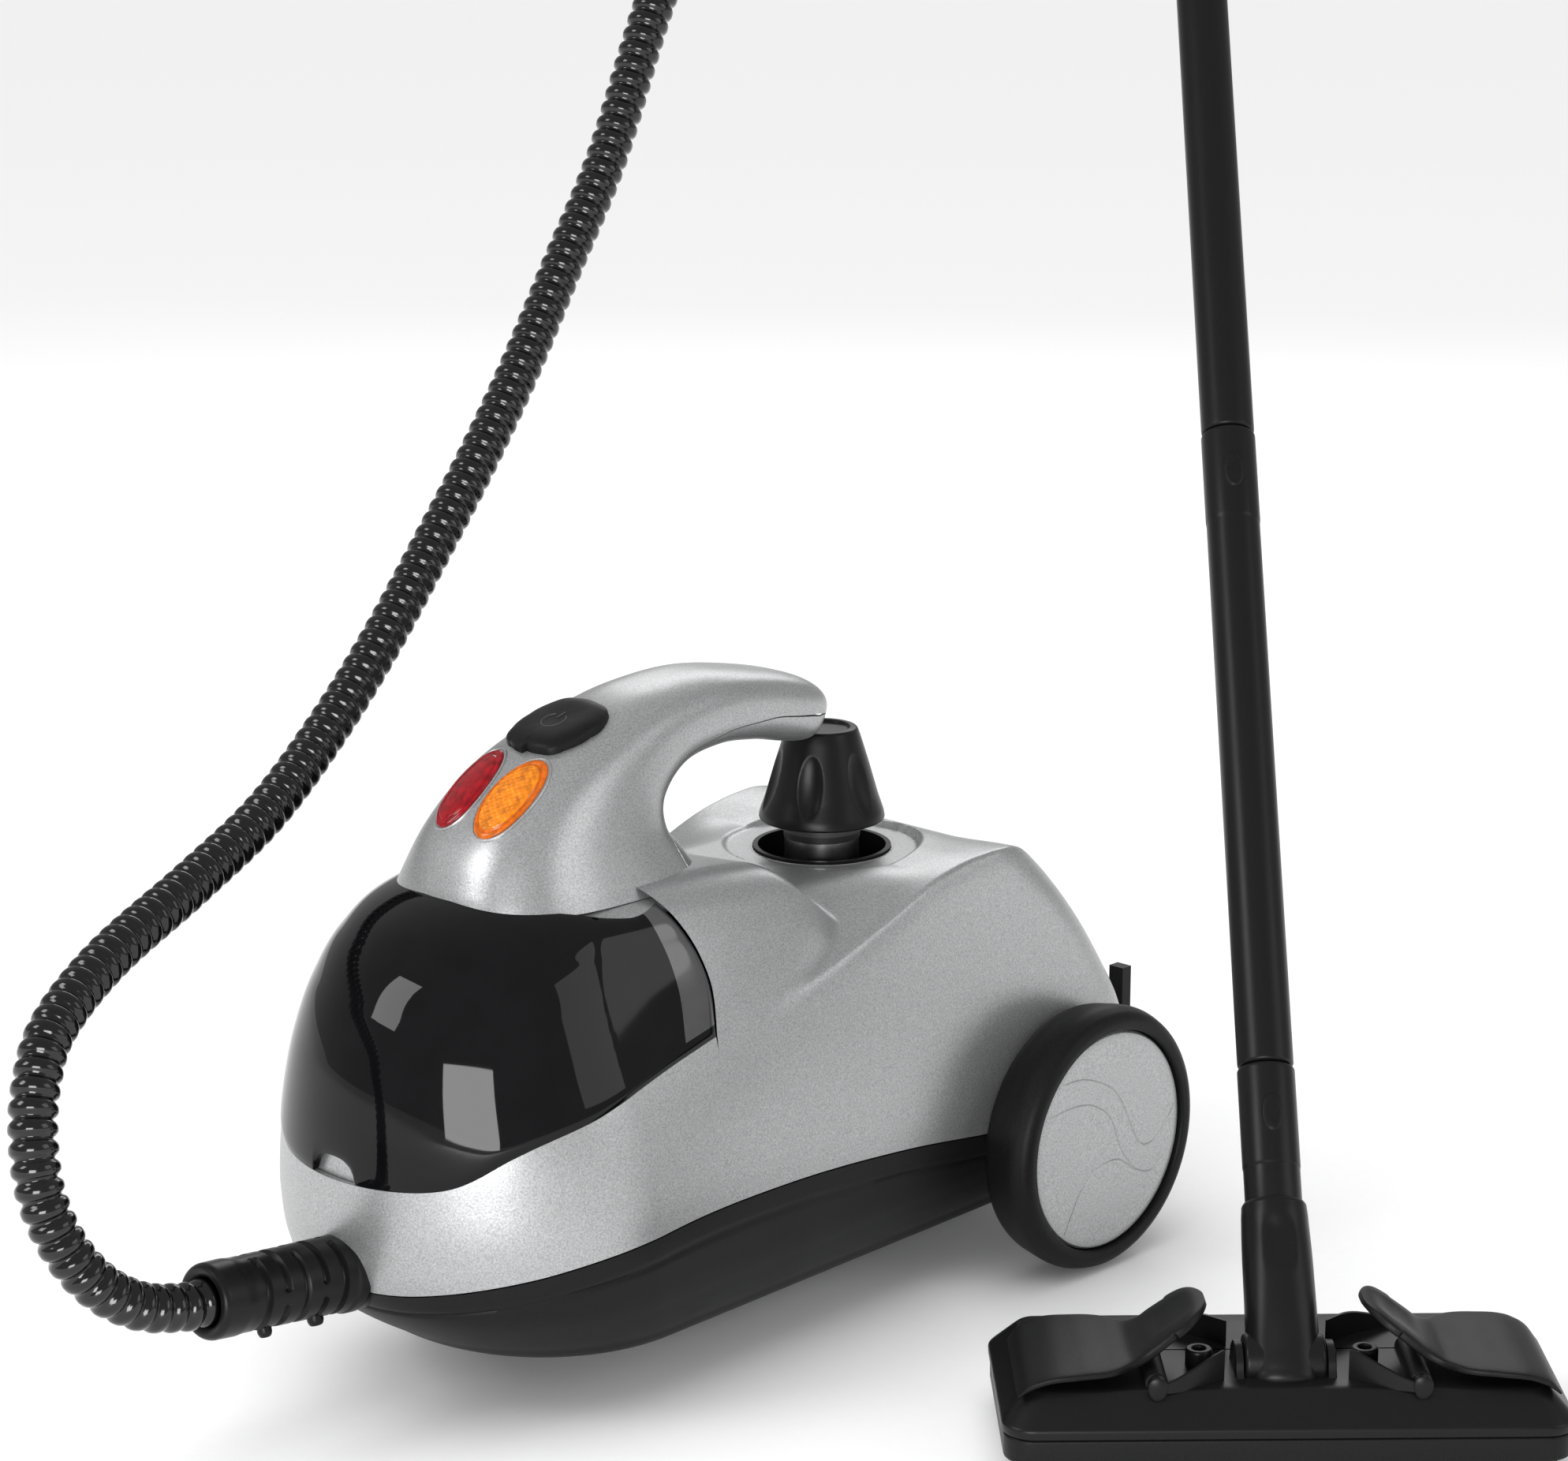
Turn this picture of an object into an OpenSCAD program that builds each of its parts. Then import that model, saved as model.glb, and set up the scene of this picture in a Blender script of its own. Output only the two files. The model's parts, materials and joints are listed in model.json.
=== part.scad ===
// Cylinder-type steam cleaner: wheeled canister, steam hose, wand, floor brush.
// Millimetres. +Z is up, the nose points along -Y, and the origin is the floor
// point under the middle of the rear axle.

/* [Canister] */
// Wall thickness of the housing mouldings
wall = 2.5; // [2:0.1:3]
// Height of the flat underside above the floor
clearance = 15; // [13:1:16]
// Gap between neighbouring mouldings
gap = 0.4; // [0.3:0.1:0.6]

/* [Wheels] */
// Outside diameter of a rear wheel
wheel_d = 120; // [110:1:122]
// Width of a rear tyre
tyre_w = 27; // [24:0.5:28]
// Distance from the centre plane to a wheel's outer face
wheel_face = 120; // [118:0.5:124]
// Diameter of the rear axle
axle_d = 8; // [6:1:10]
// Outside diameter of the front caster wheel
caster_d = 26; // [24:1:28]

/* [Filler] */
// Radius of the filler recess
recess_r = 31; // [30:0.5:33]
// Lift of the cap for each full turn
cap_pitch = 3; // [2:0.5:4]

/* [Wand] */
// Outside diameter of the tubes
tube_d = 23; // [21:0.5:24]
// Lean of the wand from the vertical, in degrees
lean = 37; // [35:0.5:39]
// Length of the exposed lower tube
lower_len = 288; // [270:1:300]
// Length of the exposed upper tube
upper_len = 290; // [270:1:300]

/* [Brush] */
// Length of the brush
brush_w = 226; // [220:1:232]
// Depth of the brush, front to back
brush_d = 100; // [96:1:104]

/* [Hidden] */

silver = [0.66, 0.67, 0.68];
black = [0.09, 0.09, 0.10];
steel = [0.75, 0.75, 0.77];
eps = 0.01;

// Housing outline at each height: z, half width at the nose, half width at the
// rear, y of the nose tip, y of the rear face.
LEVELS = [
    [15, 52, 46, -276, 48], [18, 62, 56, -288, 55], [30, 78, 71, -312, 62],
    [46, 88, 80, -334, 66], [62, 92, 84, -343, 67], [80, 94, 86, -346, 66],
    [105, 91, 86, -346, 60], [128, 86, 84, -344, 48], [150, 79, 82, -340, 34],
    [172, 71, 80, -332, 16], [190, 63, 78, -320, -2], [202, 55, 74, -305, -12],
    [208, 47, 70, -292, -20]];
nose_aspect = 1.0;
rear_corner = 26;
arc_n = 10;

// Seam between the base and the upper housing, seen from the side (y, z)
SEAM = [[-360, 54], [-346, 56], [-331, 63], [-300, 72], [-245, 80], [-178, 81],
    [-100, 75], [-36, 66], [80, 60]];
// Ridge line of the rear deck, seen from the side
RIDGE = [[-215, 148], [-180, 153], [-148, 160], [-101, 174], [-60, 188], [-40, 191],
    [-16, 190], [4, 180], [24, 158], [46, 122], [60, 90], [68, 60]];
// Lower and rear edge of the visor, seen from the side
VISOR_EDGE = [[-370, 105], [-346, 105], [-330, 109], [-312, 121], [-274, 134],
    [-208, 151], [-206, 172], [-212, 192], [-222, 212]];
collar_y = -222;
collar_rx = 58;
collar_ry = 66;

// Handle: y, z and tilt of each section, its thickness and its half width
HANDLE = [
    [-226, 200, 0, 128, 54], [-228, 212, 2, 122, 45], [-227, 226, 8, 114, 37],
    [-217, 242, 24, 92, 31], [-199, 255, 48, 62, 27], [-172, 263, 72, 42, 25],
    [-142, 265, 88, 35, 24], [-114, 261, 100, 32, 23], [-92, 255, 108, 30, 21],
    [-78, 250, 114, 25, 17], [-71, 247, 118, 14, 10]];

filler_y = -61;
deck_z = 187;
cap_z = 198;
cap_h = 42;

boiler_r = 52;
boiler_bottom = 46;
boiler_top = 156;

outlet = [0, -338, 63.5];
outlet_rise = 6;
sleeve_len = 76;
hose_d = 19.5;

brush_pos = [285, -97, 0];
brush_turn = 45;
knuckle = [0, -18, 42];
neck_len = 121;
spigot = 34;
spigot_d = tube_d - 5.5;
socket_d = spigot_d + 0.8;
gun_s = neck_len + lower_len + upper_len;

caster_y = -172;
caster_trail = 11;

button_pos = [0, -223, 272];
button_tilt = 31;

// Route of the steam hose, from the sleeve's mouth to the steam gun
HOSE = [[0, -413.6, 71.4], [0, -424, 72.6], [-1, -442, 78], [-3, -459, 90],
    [-7, -471, 107], [-13, -477, 128], [-20, -475, 149], [-29, -466, 168],
    [-40, -449, 184], [-57, -410, 199], [-76, -352, 214], [-90, -302, 231],
    [-105, -255, 256], [-118, -213, 285], [-130, -173, 318], [-140, -137, 350],
    [-150, -101, 386], [-160, -64, 429], [-168, -28, 474], [-178, 12, 539],
    [-189, 52, 590], [-207, 104, 629], [-233, 160, 652], [-257, 206, 660],
    [-273, 244, 662], [-281, 278, 662], [-272, 315, 661], [-243, 345, 660.5],
    [-203, 355.5, 660], [-170, 351, 660], [-157, 345, 660],
    [-144.9, 332.9, 659.8]];
hose_sides = 10;

// Saddle in front of the filler: y, z, half width and half length of its rings
SADDLE = [[-176, 138, 74, 52], [-175, 158, 73, 55], [-173, 172, 69, 58], [-172, 186, 64, 59],
    [-173, 198, 58, 53], [-175, 205, 51.5, 47], [-180, 210, 42, 38]];

// ---------- helpers ----------

function arc(cx, cy, rx, ry, a0, a1, n) =
    [for (i = [0:n]) let (a = a0 + (a1 - a0) * i / n) [cx + rx * cos(a), cy + ry * sin(a)]];

// Closed plan outline of one level, moved inwards by inset
function plan(lv, inset) =
    let (wf = lv[1] - inset, wr = lv[2] - inset, yf = lv[3] + inset, yr = lv[4] - inset,
        b = wf * nose_aspect, rc = rear_corner - inset)
    concat(arc(0, yf + b, wf, b, 180, 360, 2 * arc_n),
        arc(wr - rc, yr - rc, rc, rc, 0, 90, 5),
        arc(-wr + rc, yr - rc, rc, rc, 90, 180, 5));

// Solid through a list of rings of points, all with the same number of points
module loft(rings) {
    n = len(rings[0]);
    top = n * (len(rings) - 1);
    polyhedron(
        points = [for (ring = rings) each ring],
        faces = concat([[for (i = [0:n - 1]) i]], [[for (i = [n - 1:-1:0]) top + i]],
            [for (k = [0:n:top - n], i = [0:n - 1]) [k + i, k + n + i, k + n + (i + 1) % n]],
            [for (k = [0:n:top - n], i = [0:n - 1]) [k + i, k + n + (i + 1) % n, k + (i + 1) % n]]));
}

// Housing solid through all levels, with its walls moved inwards by inset
module body_stack(inset, lift = 0) {
    loft([for (lv = LEVELS) [for (p = plan(lv, inset)) [p[0], p[1], lv[0] + lift]]]);
}

// Side profile (y, z) made solid across the full width
module across(points, half = 150) {
    translate([half, 0, 0]) rotate([90, 0, -90]) mirror([1, 0, 0])
        linear_extrude(2 * half) polygon(points);
}

module above_seam(offset_z) {
    across(concat([for (p = SEAM) p + [0, offset_z]], [[80, 300], [-360, 300]]));
}

module under_ridge() {
    across(concat([[-360, 0], [-360, 215], [-222, 215]], RIDGE, [[80, 60], [80, 0]]));
}

module visor_zone(grow) {
    difference() {
        across(concat([for (p = VISOR_EDGE) p + [grow, p[1] < 200 ? -grow : grow]], [[-370, 230]]));
        collar_plug(grow);
    }
}

module collar_plug(grow) {
    translate([0, collar_y, 150]) linear_extrude(100)
        polygon(arc(0, 0, collar_rx - grow, collar_ry - grow, 0, 352.5, 47));
}

// The saddle's solid, with its walls moved inwards by inset
module saddle(inset) {
    loft([for (r = SADDLE) [for (p = arc(0, r[0], r[2] - inset, r[3] - inset, 4.5, 355.5, 39))
        [p[0], p[1], r[1] - inset]]]);
}

module handle_slice(s, inset) {
    translate([0, s[0], s[1]]) rotate([-s[2], 0, 0])
        scale([s[4] - inset, s[3] / 2 - inset, 1]) cylinder(h = 0.1, r = 1, $fn = 28);
}

// The hollow, with an inset, stops one section short of the closed tip
module handle_solid(inset) {
    for (i = [0:len(HANDLE) - (inset > 0 ? 3 : 2)])
        hull() {
            handle_slice(HANDLE[i], inset);
            handle_slice(HANDLE[i + 1], inset);
        }
}

// Parting surface of the two handle shells, above which is the upper shell
module handle_upper_zone(shift) {
    across([[-184 - shift, 150], [-184 - shift, 205], [-187 - shift, 222],
        [-183 - shift, 240 + shift], [-166 - shift, 252 + shift], [-140, 257 + shift],
        [-112, 257 + shift], [-60, 248 + shift], [-40, 320], [-320, 320], [-320, 150]]);
}

// Places children along the wand, s millimetres above the brush hinge
module on_wand(s) {
    translate(brush_pos) rotate([0, 0, brush_turn]) translate(knuckle)
        rotate([-lean, 0, 0]) translate([0, 0, s]) children();
}

module on_brush() {
    translate(brush_pos) rotate([0, 0, brush_turn]) children();
}

module tube(d_out, d_in, len) {
    difference() {
        cylinder(h = len, d = d_out, $fn = 40);
        translate([0, 0, -1]) cylinder(h = len + 2, d = d_in, $fn = 40);
    }
}

// ---------- canister mouldings ----------

module base_shell() {
    color(black) difference() {
        body_stack(0);
        body_stack(wall, wall);
        above_seam(-gap / 2);
        translate([0, caster_y, 0]) cylinder(h = 60, r = 31, $fn = 48);
        sleeve_hole();
        for (x = [-44, 44], y = [-230, 20])
            translate([x, y, 0]) cylinder(h = 30, r = 4, $fn = 24);
        translate([-100, 0, wheel_d / 2]) rotate([0, 90, 0])
            cylinder(h = 200, d = axle_d + 0.4, $fn = 32);
        translate([-40, 50, 46]) rotate([-90, 0, 0]) cylinder(h = 30, r = 9.4, $fn = 32);
    }
}

module sleeve_hole() {
    translate([0, outlet[1] + 34, outlet[2] - 3.5]) rotate([90 - outlet_rise, 0, 0])
        linear_extrude(60) polygon(arc(0, 0, 17.5, 17.5, 4.5, 355.5, 39));
}

// Outside of the upper housing, moved inwards by inset
module housing_solid(inset) {
    intersection() {
        body_stack(inset);
        translate([0, 0, -inset]) under_ridge();
    }
    saddle(inset);
}

module upper_housing() {
    color(silver) difference() {
        intersection() {
            housing_solid(0);
            above_seam(gap / 2);
        }
        housing_solid(wall);
        visor_zone(gap);
        collar_plug(-0.3);
        sleeve_hole();
        translate([0, filler_y, 100]) cylinder(h = 120, r = recess_r, $fn = 60);
    }
}

module handle_upper_shell() {
    color(silver) difference() {
        intersection() {
            handle_solid(0);
            handle_upper_zone(gap / 2);
            translate([-100, -320, 205]) cube([200, 300, 120]);
        }
        handle_solid(wall);
        lamp_pocket();
        button_pocket(0.5);
    }
}

module handle_lower_shell() {
    color(silver) difference() {
        intersection() {
            handle_solid(0);
            translate([-100, -320, 205]) cube([200, 300, 120]);
        }
        handle_upper_zone(-gap / 2);
        handle_solid(wall);
        cap_relief();
    }
}

// Room under the handle's tip for the filler cap as it is screwed up
module cap_relief() {
    translate([0, filler_y, 0]) rotate_extrude($fn = 48)
        polygon([[0, 232], [20.6, 232], [18.2, 240], [17, 245], [16, 246.8], [0, 246.8]]);
}

module lamp_pocket() {
    translate([0, -262, 243]) rotate([42, 0, 0]) scale([25, 18, 1])
        translate([0, 0, -14]) cylinder(h = 40, r = 1, $fn = 36);
}

module button_pocket(grow) {
    translate(button_pos) rotate([button_tilt, 0, 0]) translate([0, 0, -12])
        linear_extrude(30) offset(delta = grow) button_outline();
}

module button_outline() {
    polygon([[-13, -17], [13, -17], [17, 4], [10, 17], [-10, 17], [-17, 4]]);
}

module visor() {
    color([0.02, 0.02, 0.02]) difference() {
        intersection() {
            difference() {
                body_stack(0.2);
                body_stack(3.2);
            }
            visor_zone(0);
            translate([-150, -400, 60]) cube([300, 230, 146]);
        }
        translate([0, -350, 105]) scale([20, 12, 6]) sphere(r = 1, $fn = 24);
    }
}

module visor_tray() {
    color([0.16, 0.16, 0.17]) intersection() {
        difference() {
            body_stack(7);
            body_stack(9);
        }
        across([[-345, 108], [-330, 112], [-312, 124], [-274, 137], [-216, 152],
            [-216, 172], [-224, 192], [-240, 197], [-345, 197]]);
    }
}

module half_lamp(side) {
    intersection() {
        translate([0, -262, 243]) rotate([42, 0, 0])
            translate([0, 0, -9]) scale([24.4, 17.4, 16]) sphere(r = 1, $fn = 28);
        translate([0, -262, 243]) rotate([42, 0, 0])
            translate([side > 0 ? 0.4 : -30, -30, -6]) cube([29.6, 60, 30]);
    }
}

module lamp_red() {
    color([0.6, 0.05, 0.04]) half_lamp(-1);
}

module lamp_orange() {
    color([0.85, 0.35, 0.05]) half_lamp(1);
}

module lamp_bulbs() {
    color([0.9, 0.9, 0.8])
        for (x = [-10, 10])
            translate([0, -262, 243]) rotate([42, 0, 0])
                translate([x, 0, -13]) cylinder(h = 5, d = 5, $fn = 24);
}

module power_button() {
    color(black) translate(button_pos) rotate([button_tilt, 0, 0])
        translate([0, 0, -8]) linear_extrude(11) button_outline();
}

module power_switch() {
    color([0.2, 0.2, 0.2]) translate(button_pos) rotate([button_tilt, 0, 0])
        translate([-8, -10, -24]) cube([16, 20, 11.5]);
}

// ---------- filler ----------

module filler_cup() {
    color(black) translate([0, filler_y, 0]) rotate_extrude($fn = 60)
        polygon([[20, 166], [recess_r - 0.3, 166], [recess_r - 0.3, deck_z - 1],
            [recess_r - 2.5, deck_z - 1], [recess_r - 2.5, 168.5], [20, 168.5]]);
}

module filler_neck() {
    color(steel) translate([0, filler_y, 0]) rotate_extrude($fn = 48)
        polygon([[13, boiler_top + 0.3], [24, boiler_top + 0.3], [24, boiler_top + 4],
            [16.5, boiler_top + 4], [16.5, 190], [13, 190]]);
}

module cap_knob() {
    color(black) translate([0, filler_y, cap_z]) difference() {
        rotate_extrude($fn = 48)
            polygon([[0, 3], [0, cap_h], [15, cap_h], [16.2, cap_h - 1.5], [20.5, 26],
                [24.5, 12], [27.5, 3], [28, 0], [25, 0], [23, 3]]);
        for (a = [0:60:300])
            rotate([0, 0, a]) translate([27.5, 0, 20]) rotate([0, -16, 0])
                scale([5, 7, 15]) sphere(r = 1, $fn = 20);
        translate([0, 0, cap_h - 1.2]) cylinder(h = 3, r = 12, $fn = 40);
    }
}

module cap_plug() {
    color(black) translate([0, filler_y, 0]) rotate_extrude($fn = 48)
        polygon([[6, 170], [12.6, 170], [12.6, 193.4], [18, 193.4], [18, 201], [6, 201]]);
}

module cap_seal() {
    color([0.5, 0.1, 0.1]) translate([0, filler_y, 0]) rotate_extrude($fn = 48)
        polygon([[12.9, 190.3], [17, 190.3], [17, 193.1], [12.9, 193.1]]);
}

module cap_spring() {
    color(steel) translate([0, filler_y, 0])
        for (i = [0:5])
            translate([0, 0, 175 + 3.6 * i]) rotate_extrude($fn = 24)
                translate([4.6, 0]) circle(d = 1.2, $fn = 14);
}

// ---------- boiler and steam circuit ----------

module boiler_upper() {
    color(steel) translate([0, filler_y, 0]) rotate_extrude($fn = 60)
        polygon([[boiler_r - 2, 102], [boiler_r + 3, 102], [boiler_r + 3, 104],
            [boiler_r, 104], [boiler_r, boiler_top - 18], [boiler_r - 8, boiler_top - 6],
            [boiler_r - 22, boiler_top], [16, boiler_top], [16, boiler_top - 2],
            [boiler_r - 23, boiler_top - 2], [boiler_r - 9.5, boiler_top - 8],
            [boiler_r - 2, boiler_top - 19]]);
}

module boiler_lower() {
    color(steel) translate([0, filler_y, 0]) rotate_extrude($fn = 60)
        polygon([[0, boiler_bottom], [boiler_r - 22, boiler_bottom],
            [boiler_r - 8, boiler_bottom + 6], [boiler_r, boiler_bottom + 18],
            [boiler_r, 99.5], [boiler_r + 3, 99.5], [boiler_r + 3, 101.8],
            [boiler_r - 2, 101.8], [boiler_r - 2, boiler_bottom + 19],
            [boiler_r - 9.5, boiler_bottom + 8], [boiler_r - 23, boiler_bottom + 2],
            [0, boiler_bottom + 2]]);
}

module heating_element() {
    color([0.5, 0.35, 0.25]) translate([0, filler_y, boiler_bottom - 4.3]) {
        rotate([0, 0, -60]) rotate_extrude(angle = 300, $fn = 48)
            translate([20, 0]) circle(d = 7, $fn = 20);
        for (x = [-6, 6])
            translate([x - 3.5, 15, -9.5]) cube([7, 4, 4]);
    }
}

module thermostat() {
    color([0.85, 0.85, 0.8]) {
        translate([-16, filler_y - boiler_r - 9, 78]) rotate([90, 0, 0])
            cylinder(h = 8, d = 16, $fn = 32);
        translate([16, filler_y - boiler_r - 9, 78]) rotate([90, 0, 0])
            cylinder(h = 8, d = 16, $fn = 32);
    }
}

module solenoid_valve() {
    color([0.72, 0.6, 0.25]) translate([0, -200, 62]) {
        translate([-14, -12, 0]) cube([28, 24, 20]);
        translate([0, 0, 20]) cylinder(h = 34, d = 26, $fn = 32);
    }
}

module steam_pipe() {
    color([0.72, 0.45, 0.3]) {
        translate([0, -187.5, 72]) rotate([-90, 0, 0]) cylinder(h = 24, d = 7, $fn = 24);
        translate([0, -163.5, 72]) rotate([-90, 0, 0]) tube(11, 7.2, 6);
        translate([0, -212.5, 72]) rotate([90, 0, 0]) cylinder(h = 62, d = 7, $fn = 24);
    }
}

module hose_nipple() {
    color([0.72, 0.6, 0.25]) translate([0, -275, outlet[2] - 6])
        rotate([90 - outlet_rise, 0, 0]) {
            cylinder(h = 10, d = 20, $fn = 32);
            translate([0, 0, 10]) cylinder(h = 26, d = 9, $fn = 32);
        }
}

module hose_sleeve() {
    color(black) translate(outlet) rotate([90 - outlet_rise, 0, 0])
        difference() {
            union() {
                translate([0, 0, -22]) cylinder(h = 12, d = 33, $fn = 40);
                translate([0, 0, -10]) cylinder(h = sleeve_len + 10, d1 = 32, d2 = 28.6, $fn = 40);
            }
            for (i = [0:4])
                translate([-20, i % 2 == 0 ? 4 : -20, 12 + 9 * i]) cube([40, 16, 3]);
            translate([0, 0, -30]) cylinder(h = 50, d = 10, $fn = 32);
        }
}

module terminal_block() {
    color([0.85, 0.85, 0.8]) translate([-70, 12, 76]) difference() {
        cube([36, 20, 16]);
        for (i = [0:2])
            translate([7 + 11 * i, 10, -1]) cylinder(h = 18, d = 5, $fn = 20);
    }
}

module cord_gland() {
    color(black) translate([-40, 74, 46]) rotate([90, 0, 0]) difference() {
        union() {
            cylinder(h = 6, d = 24, $fn = 32);
            cylinder(h = 24, d = 18.4, $fn = 32);
        }
        translate([0, 0, -1]) cylinder(h = 26, d = 8, $fn = 32);
    }
}

// ---------- running gear ----------

module rear_axle() {
    color(steel) translate([-wheel_face + 5, 0, wheel_d / 2]) rotate([0, 90, 0])
        cylinder(h = 2 * wheel_face - 10, d = axle_d, $fn = 32);
}

// Turns a profile drawn as (radius, distance from the outer face) about the axle
module wheel_solid(side) {
    translate([side * wheel_face, 0, wheel_d / 2]) rotate([0, -90 * side, 0])
        rotate_extrude($fn = 72) children();
}

module tyre(side) {
    color(black) wheel_solid(side)
        polygon(concat([[50.4, 0], [52, -0.4 + 0.4]],
            arc(wheel_d / 2 - 9, 9, 9, 8.6, -90, 0, 6),
            arc(wheel_d / 2 - 6, tyre_w - 6, 6, 6, 0, 90, 4), [[50.4, tyre_w]]));
}

module wheel_disc(side) {
    color(silver) wheel_solid(side)
        polygon([[axle_d / 2 + 0.06, 9], [50, 4], [50, tyre_w], [46, tyre_w], [46, 8],
            [16, 13], [11, tyre_w + 4], [axle_d / 2 + 0.06, tyre_w + 4]]);
}

module axle_clips() {
    color(steel)
        for (s = [-1, 1])
            translate([s * (wheel_face - 7), 0, wheel_d / 2]) rotate([0, 90, 0])
                translate([0, 0, -0.6]) tube(13, axle_d, 1.2);
}

module caster_socket() {
    color(black) translate([0, caster_y, 0]) difference() {
        translate([0, 0, clearance]) cylinder(h = 26, r = 30.7, $fn = 48);
        translate([0, 0, clearance - 1]) cylinder(h = 18, r = 28, $fn = 48);
        translate([0, 0, clearance]) cylinder(h = 30, r = 4.06, $fn = 32);
    }
}

module caster_fork() {
    color(black) translate([0, caster_y, 0]) {
        translate([0, 0, 31]) cylinder(h = 10, r = 4, $fn = 32);
        difference() {
            translate([-11, -9, 5]) cube([22, 28, 26]);
            translate([-8.2, -30, 4]) cube([16.4, 60, 23]);
            translate([-20, -10, 4]) cube([40, 12, 18]);
            translate([-20, caster_trail, caster_d / 2]) rotate([0, 90, 0])
                cylinder(h = 40, d = 4, $fn = 24);
        }
    }
}

module caster_axle() {
    color(steel) translate([-10.9, caster_y + caster_trail, caster_d / 2]) rotate([0, 90, 0])
        cylinder(h = 21.8, d = 4, $fn = 24);
}

module caster_wheel() {
    color([0.25, 0.25, 0.25]) translate([-7.6, caster_y + caster_trail, caster_d / 2])
        rotate([0, 90, 0]) difference() {
            cylinder(h = 15.2, d = caster_d, $fn = 40);
            translate([0, 0, -1]) cylinder(h = 18, d = 4.12, $fn = 24);
        }
}

module housing_screws() {
    color(steel)
        for (x = [-44, 44], y = [-230, 20])
            translate([x, y, clearance + 3]) {
                cylinder(h = 2, d = 7, $fn = 24);
                translate([0, 0, 2]) cylinder(h = 16, d = 3.4, $fn = 16);
            }
}

module rear_hook() {
    color(black)
        for (s = [-1, 1])
            translate([s * 62, 66.2, 92]) {
                translate([-4, 0, -10]) cube([8, 11, 8]);
                translate([-4, 5, -2]) cube([8, 6, 22]);
            }
}

// ---------- steam gun ----------

// Sections of the gun: y, z, tilt, half width and half depth
GUN = [[0, 3, 0, 17, 17], [0, 26, 0, 18, 21], [3, 52, 14, 18, 25], [17, 80, 34, 17, 22],
    [38, 101, 46, 15.5, 17], [66, 121, 50, 15, 16], [92, 142, 49, 15.5, 17],
    [104, 153, 48, 13, 14]];

module gun_slice(s, inset, from, thick) {
    translate([0, s[0], s[1]]) rotate([-s[2], 0, 0]) translate([0, 0, from])
        scale([s[3] - inset, s[4] - inset, 1]) cylinder(h = thick, r = 1, $fn = 24);
}

// The hollow, with an inset, runs out past both ends
module gun_body(inset) {
    last = len(GUN) - 1;
    for (i = [0:last - 1])
        hull() {
            gun_slice(GUN[i], inset, i == 0 && inset > 0 ? -2 : 0, 0.1);
            gun_slice(GUN[i + 1], inset, i + 1 == last && inset > 0 ? 2 : 0, 0.1);
        }
}

module gun_half(side) {
    on_wand(gun_s) difference() {
        gun_body(0);
        gun_body(2.2);
        translate([side > 0 ? -50 + gap / 2 : -gap / 2, -60, -10]) cube([50, 220, 220]);
        translate([-6, 16, 50]) cube([12, 34, 46]);
        translate([-5, -35, 40]) cube([10, 30, 15]);
        translate([0, 0, -1]) cylinder(h = 8, d = 20.6, $fn = 32);
    }
}

module gun_shell_left() {
    color(black) gun_half(-1);
}

module gun_shell_right() {
    color(black) gun_half(1);
}

module gun_trigger() {
    color([0.55, 0.1, 0.08]) on_wand(gun_s) hull() {
        translate([-5, 14, 60]) cube([10, 10, 2]);
        translate([-5, 30, 56]) cube([10, 10, 2]);
        translate([-5, 44, 84]) cube([10, 4, 2]);
        translate([-5, 32, 86]) cube([10, 4, 2]);
    }
}

module child_lock() {
    color([0.6, 0.6, 0.6]) on_wand(gun_s)
        translate([-4.6, -26.5, 43]) cube([9.2, 7, 6]);
}

module gun_switch() {
    color([0.2, 0.2, 0.2]) on_wand(gun_s)
        translate([-5, -1, 60]) cube([10, 8, 14]);
}

module gun_nozzle() {
    color(black) on_wand(gun_s) {
        translate([0, 0, -spigot]) tube(spigot_d, spigot_d - 7, spigot + 5);
        translate([0, 0, 3.2]) cylinder(h = 14, d = 29, $fn = 32);
    }
}

// Tapered relief where the hose leaves the grip
module gun_gland() {
    end = GUN[len(GUN) - 1];
    color(black) on_wand(gun_s) translate([0, end[0], end[1]]) rotate([lean - 90, 0, 0])
        difference() {
            union() {
                translate([0, 0, 1.6]) cylinder(h = 4, d = 26, $fn = 40);
                translate([0, 0, 5.6]) cylinder(h = 24.2, d1 = 26, d2 = 22.6, $fn = 40);
            }
            translate([0, 0, -1]) cylinder(h = 22, d = 12, $fn = 32);
        }
}

// ---------- wand tubes ----------

module push_button_hole() {
    translate([0, -tube_d / 2 + 4, -22]) rotate([90, 0, 0])
        scale([5.1, 9.1, 1]) cylinder(h = 12, r = 1, $fn = 32);
}

module push_button() {
    translate([0, -spigot_d / 2 - 1.8, -22]) rotate([90, 0, 0])
        scale([4.7, 8.7, 1]) cylinder(h = 2.9, r = 1, $fn = 32);
}

// Tube whose top end is a socket and whose bottom end is a spigot
module wand_tube(len) {
    difference() {
        union() {
            translate([0, 0, gap]) cylinder(h = len - gap, d = tube_d, $fn = 40);
            translate([0, 0, -spigot]) cylinder(h = spigot + 1, d = spigot_d, $fn = 40);
        }
        translate([0, 0, len - spigot - 2]) cylinder(h = spigot + 4, d = socket_d, $fn = 40);
        translate([0, 0, -spigot - 1]) cylinder(h = len, d = spigot_d - 5, $fn = 32);
        translate([0, 0, len]) push_button_hole();
    }
}

module lower_tube() {
    color(black) on_wand(neck_len) wand_tube(lower_len);
}

module lower_button() {
    color(black) on_wand(neck_len + lower_len) push_button();
}

module upper_tube() {
    color(black) on_wand(neck_len + lower_len) wand_tube(upper_len);
}

module upper_button() {
    color(black) on_wand(gun_s) push_button();
}

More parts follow.
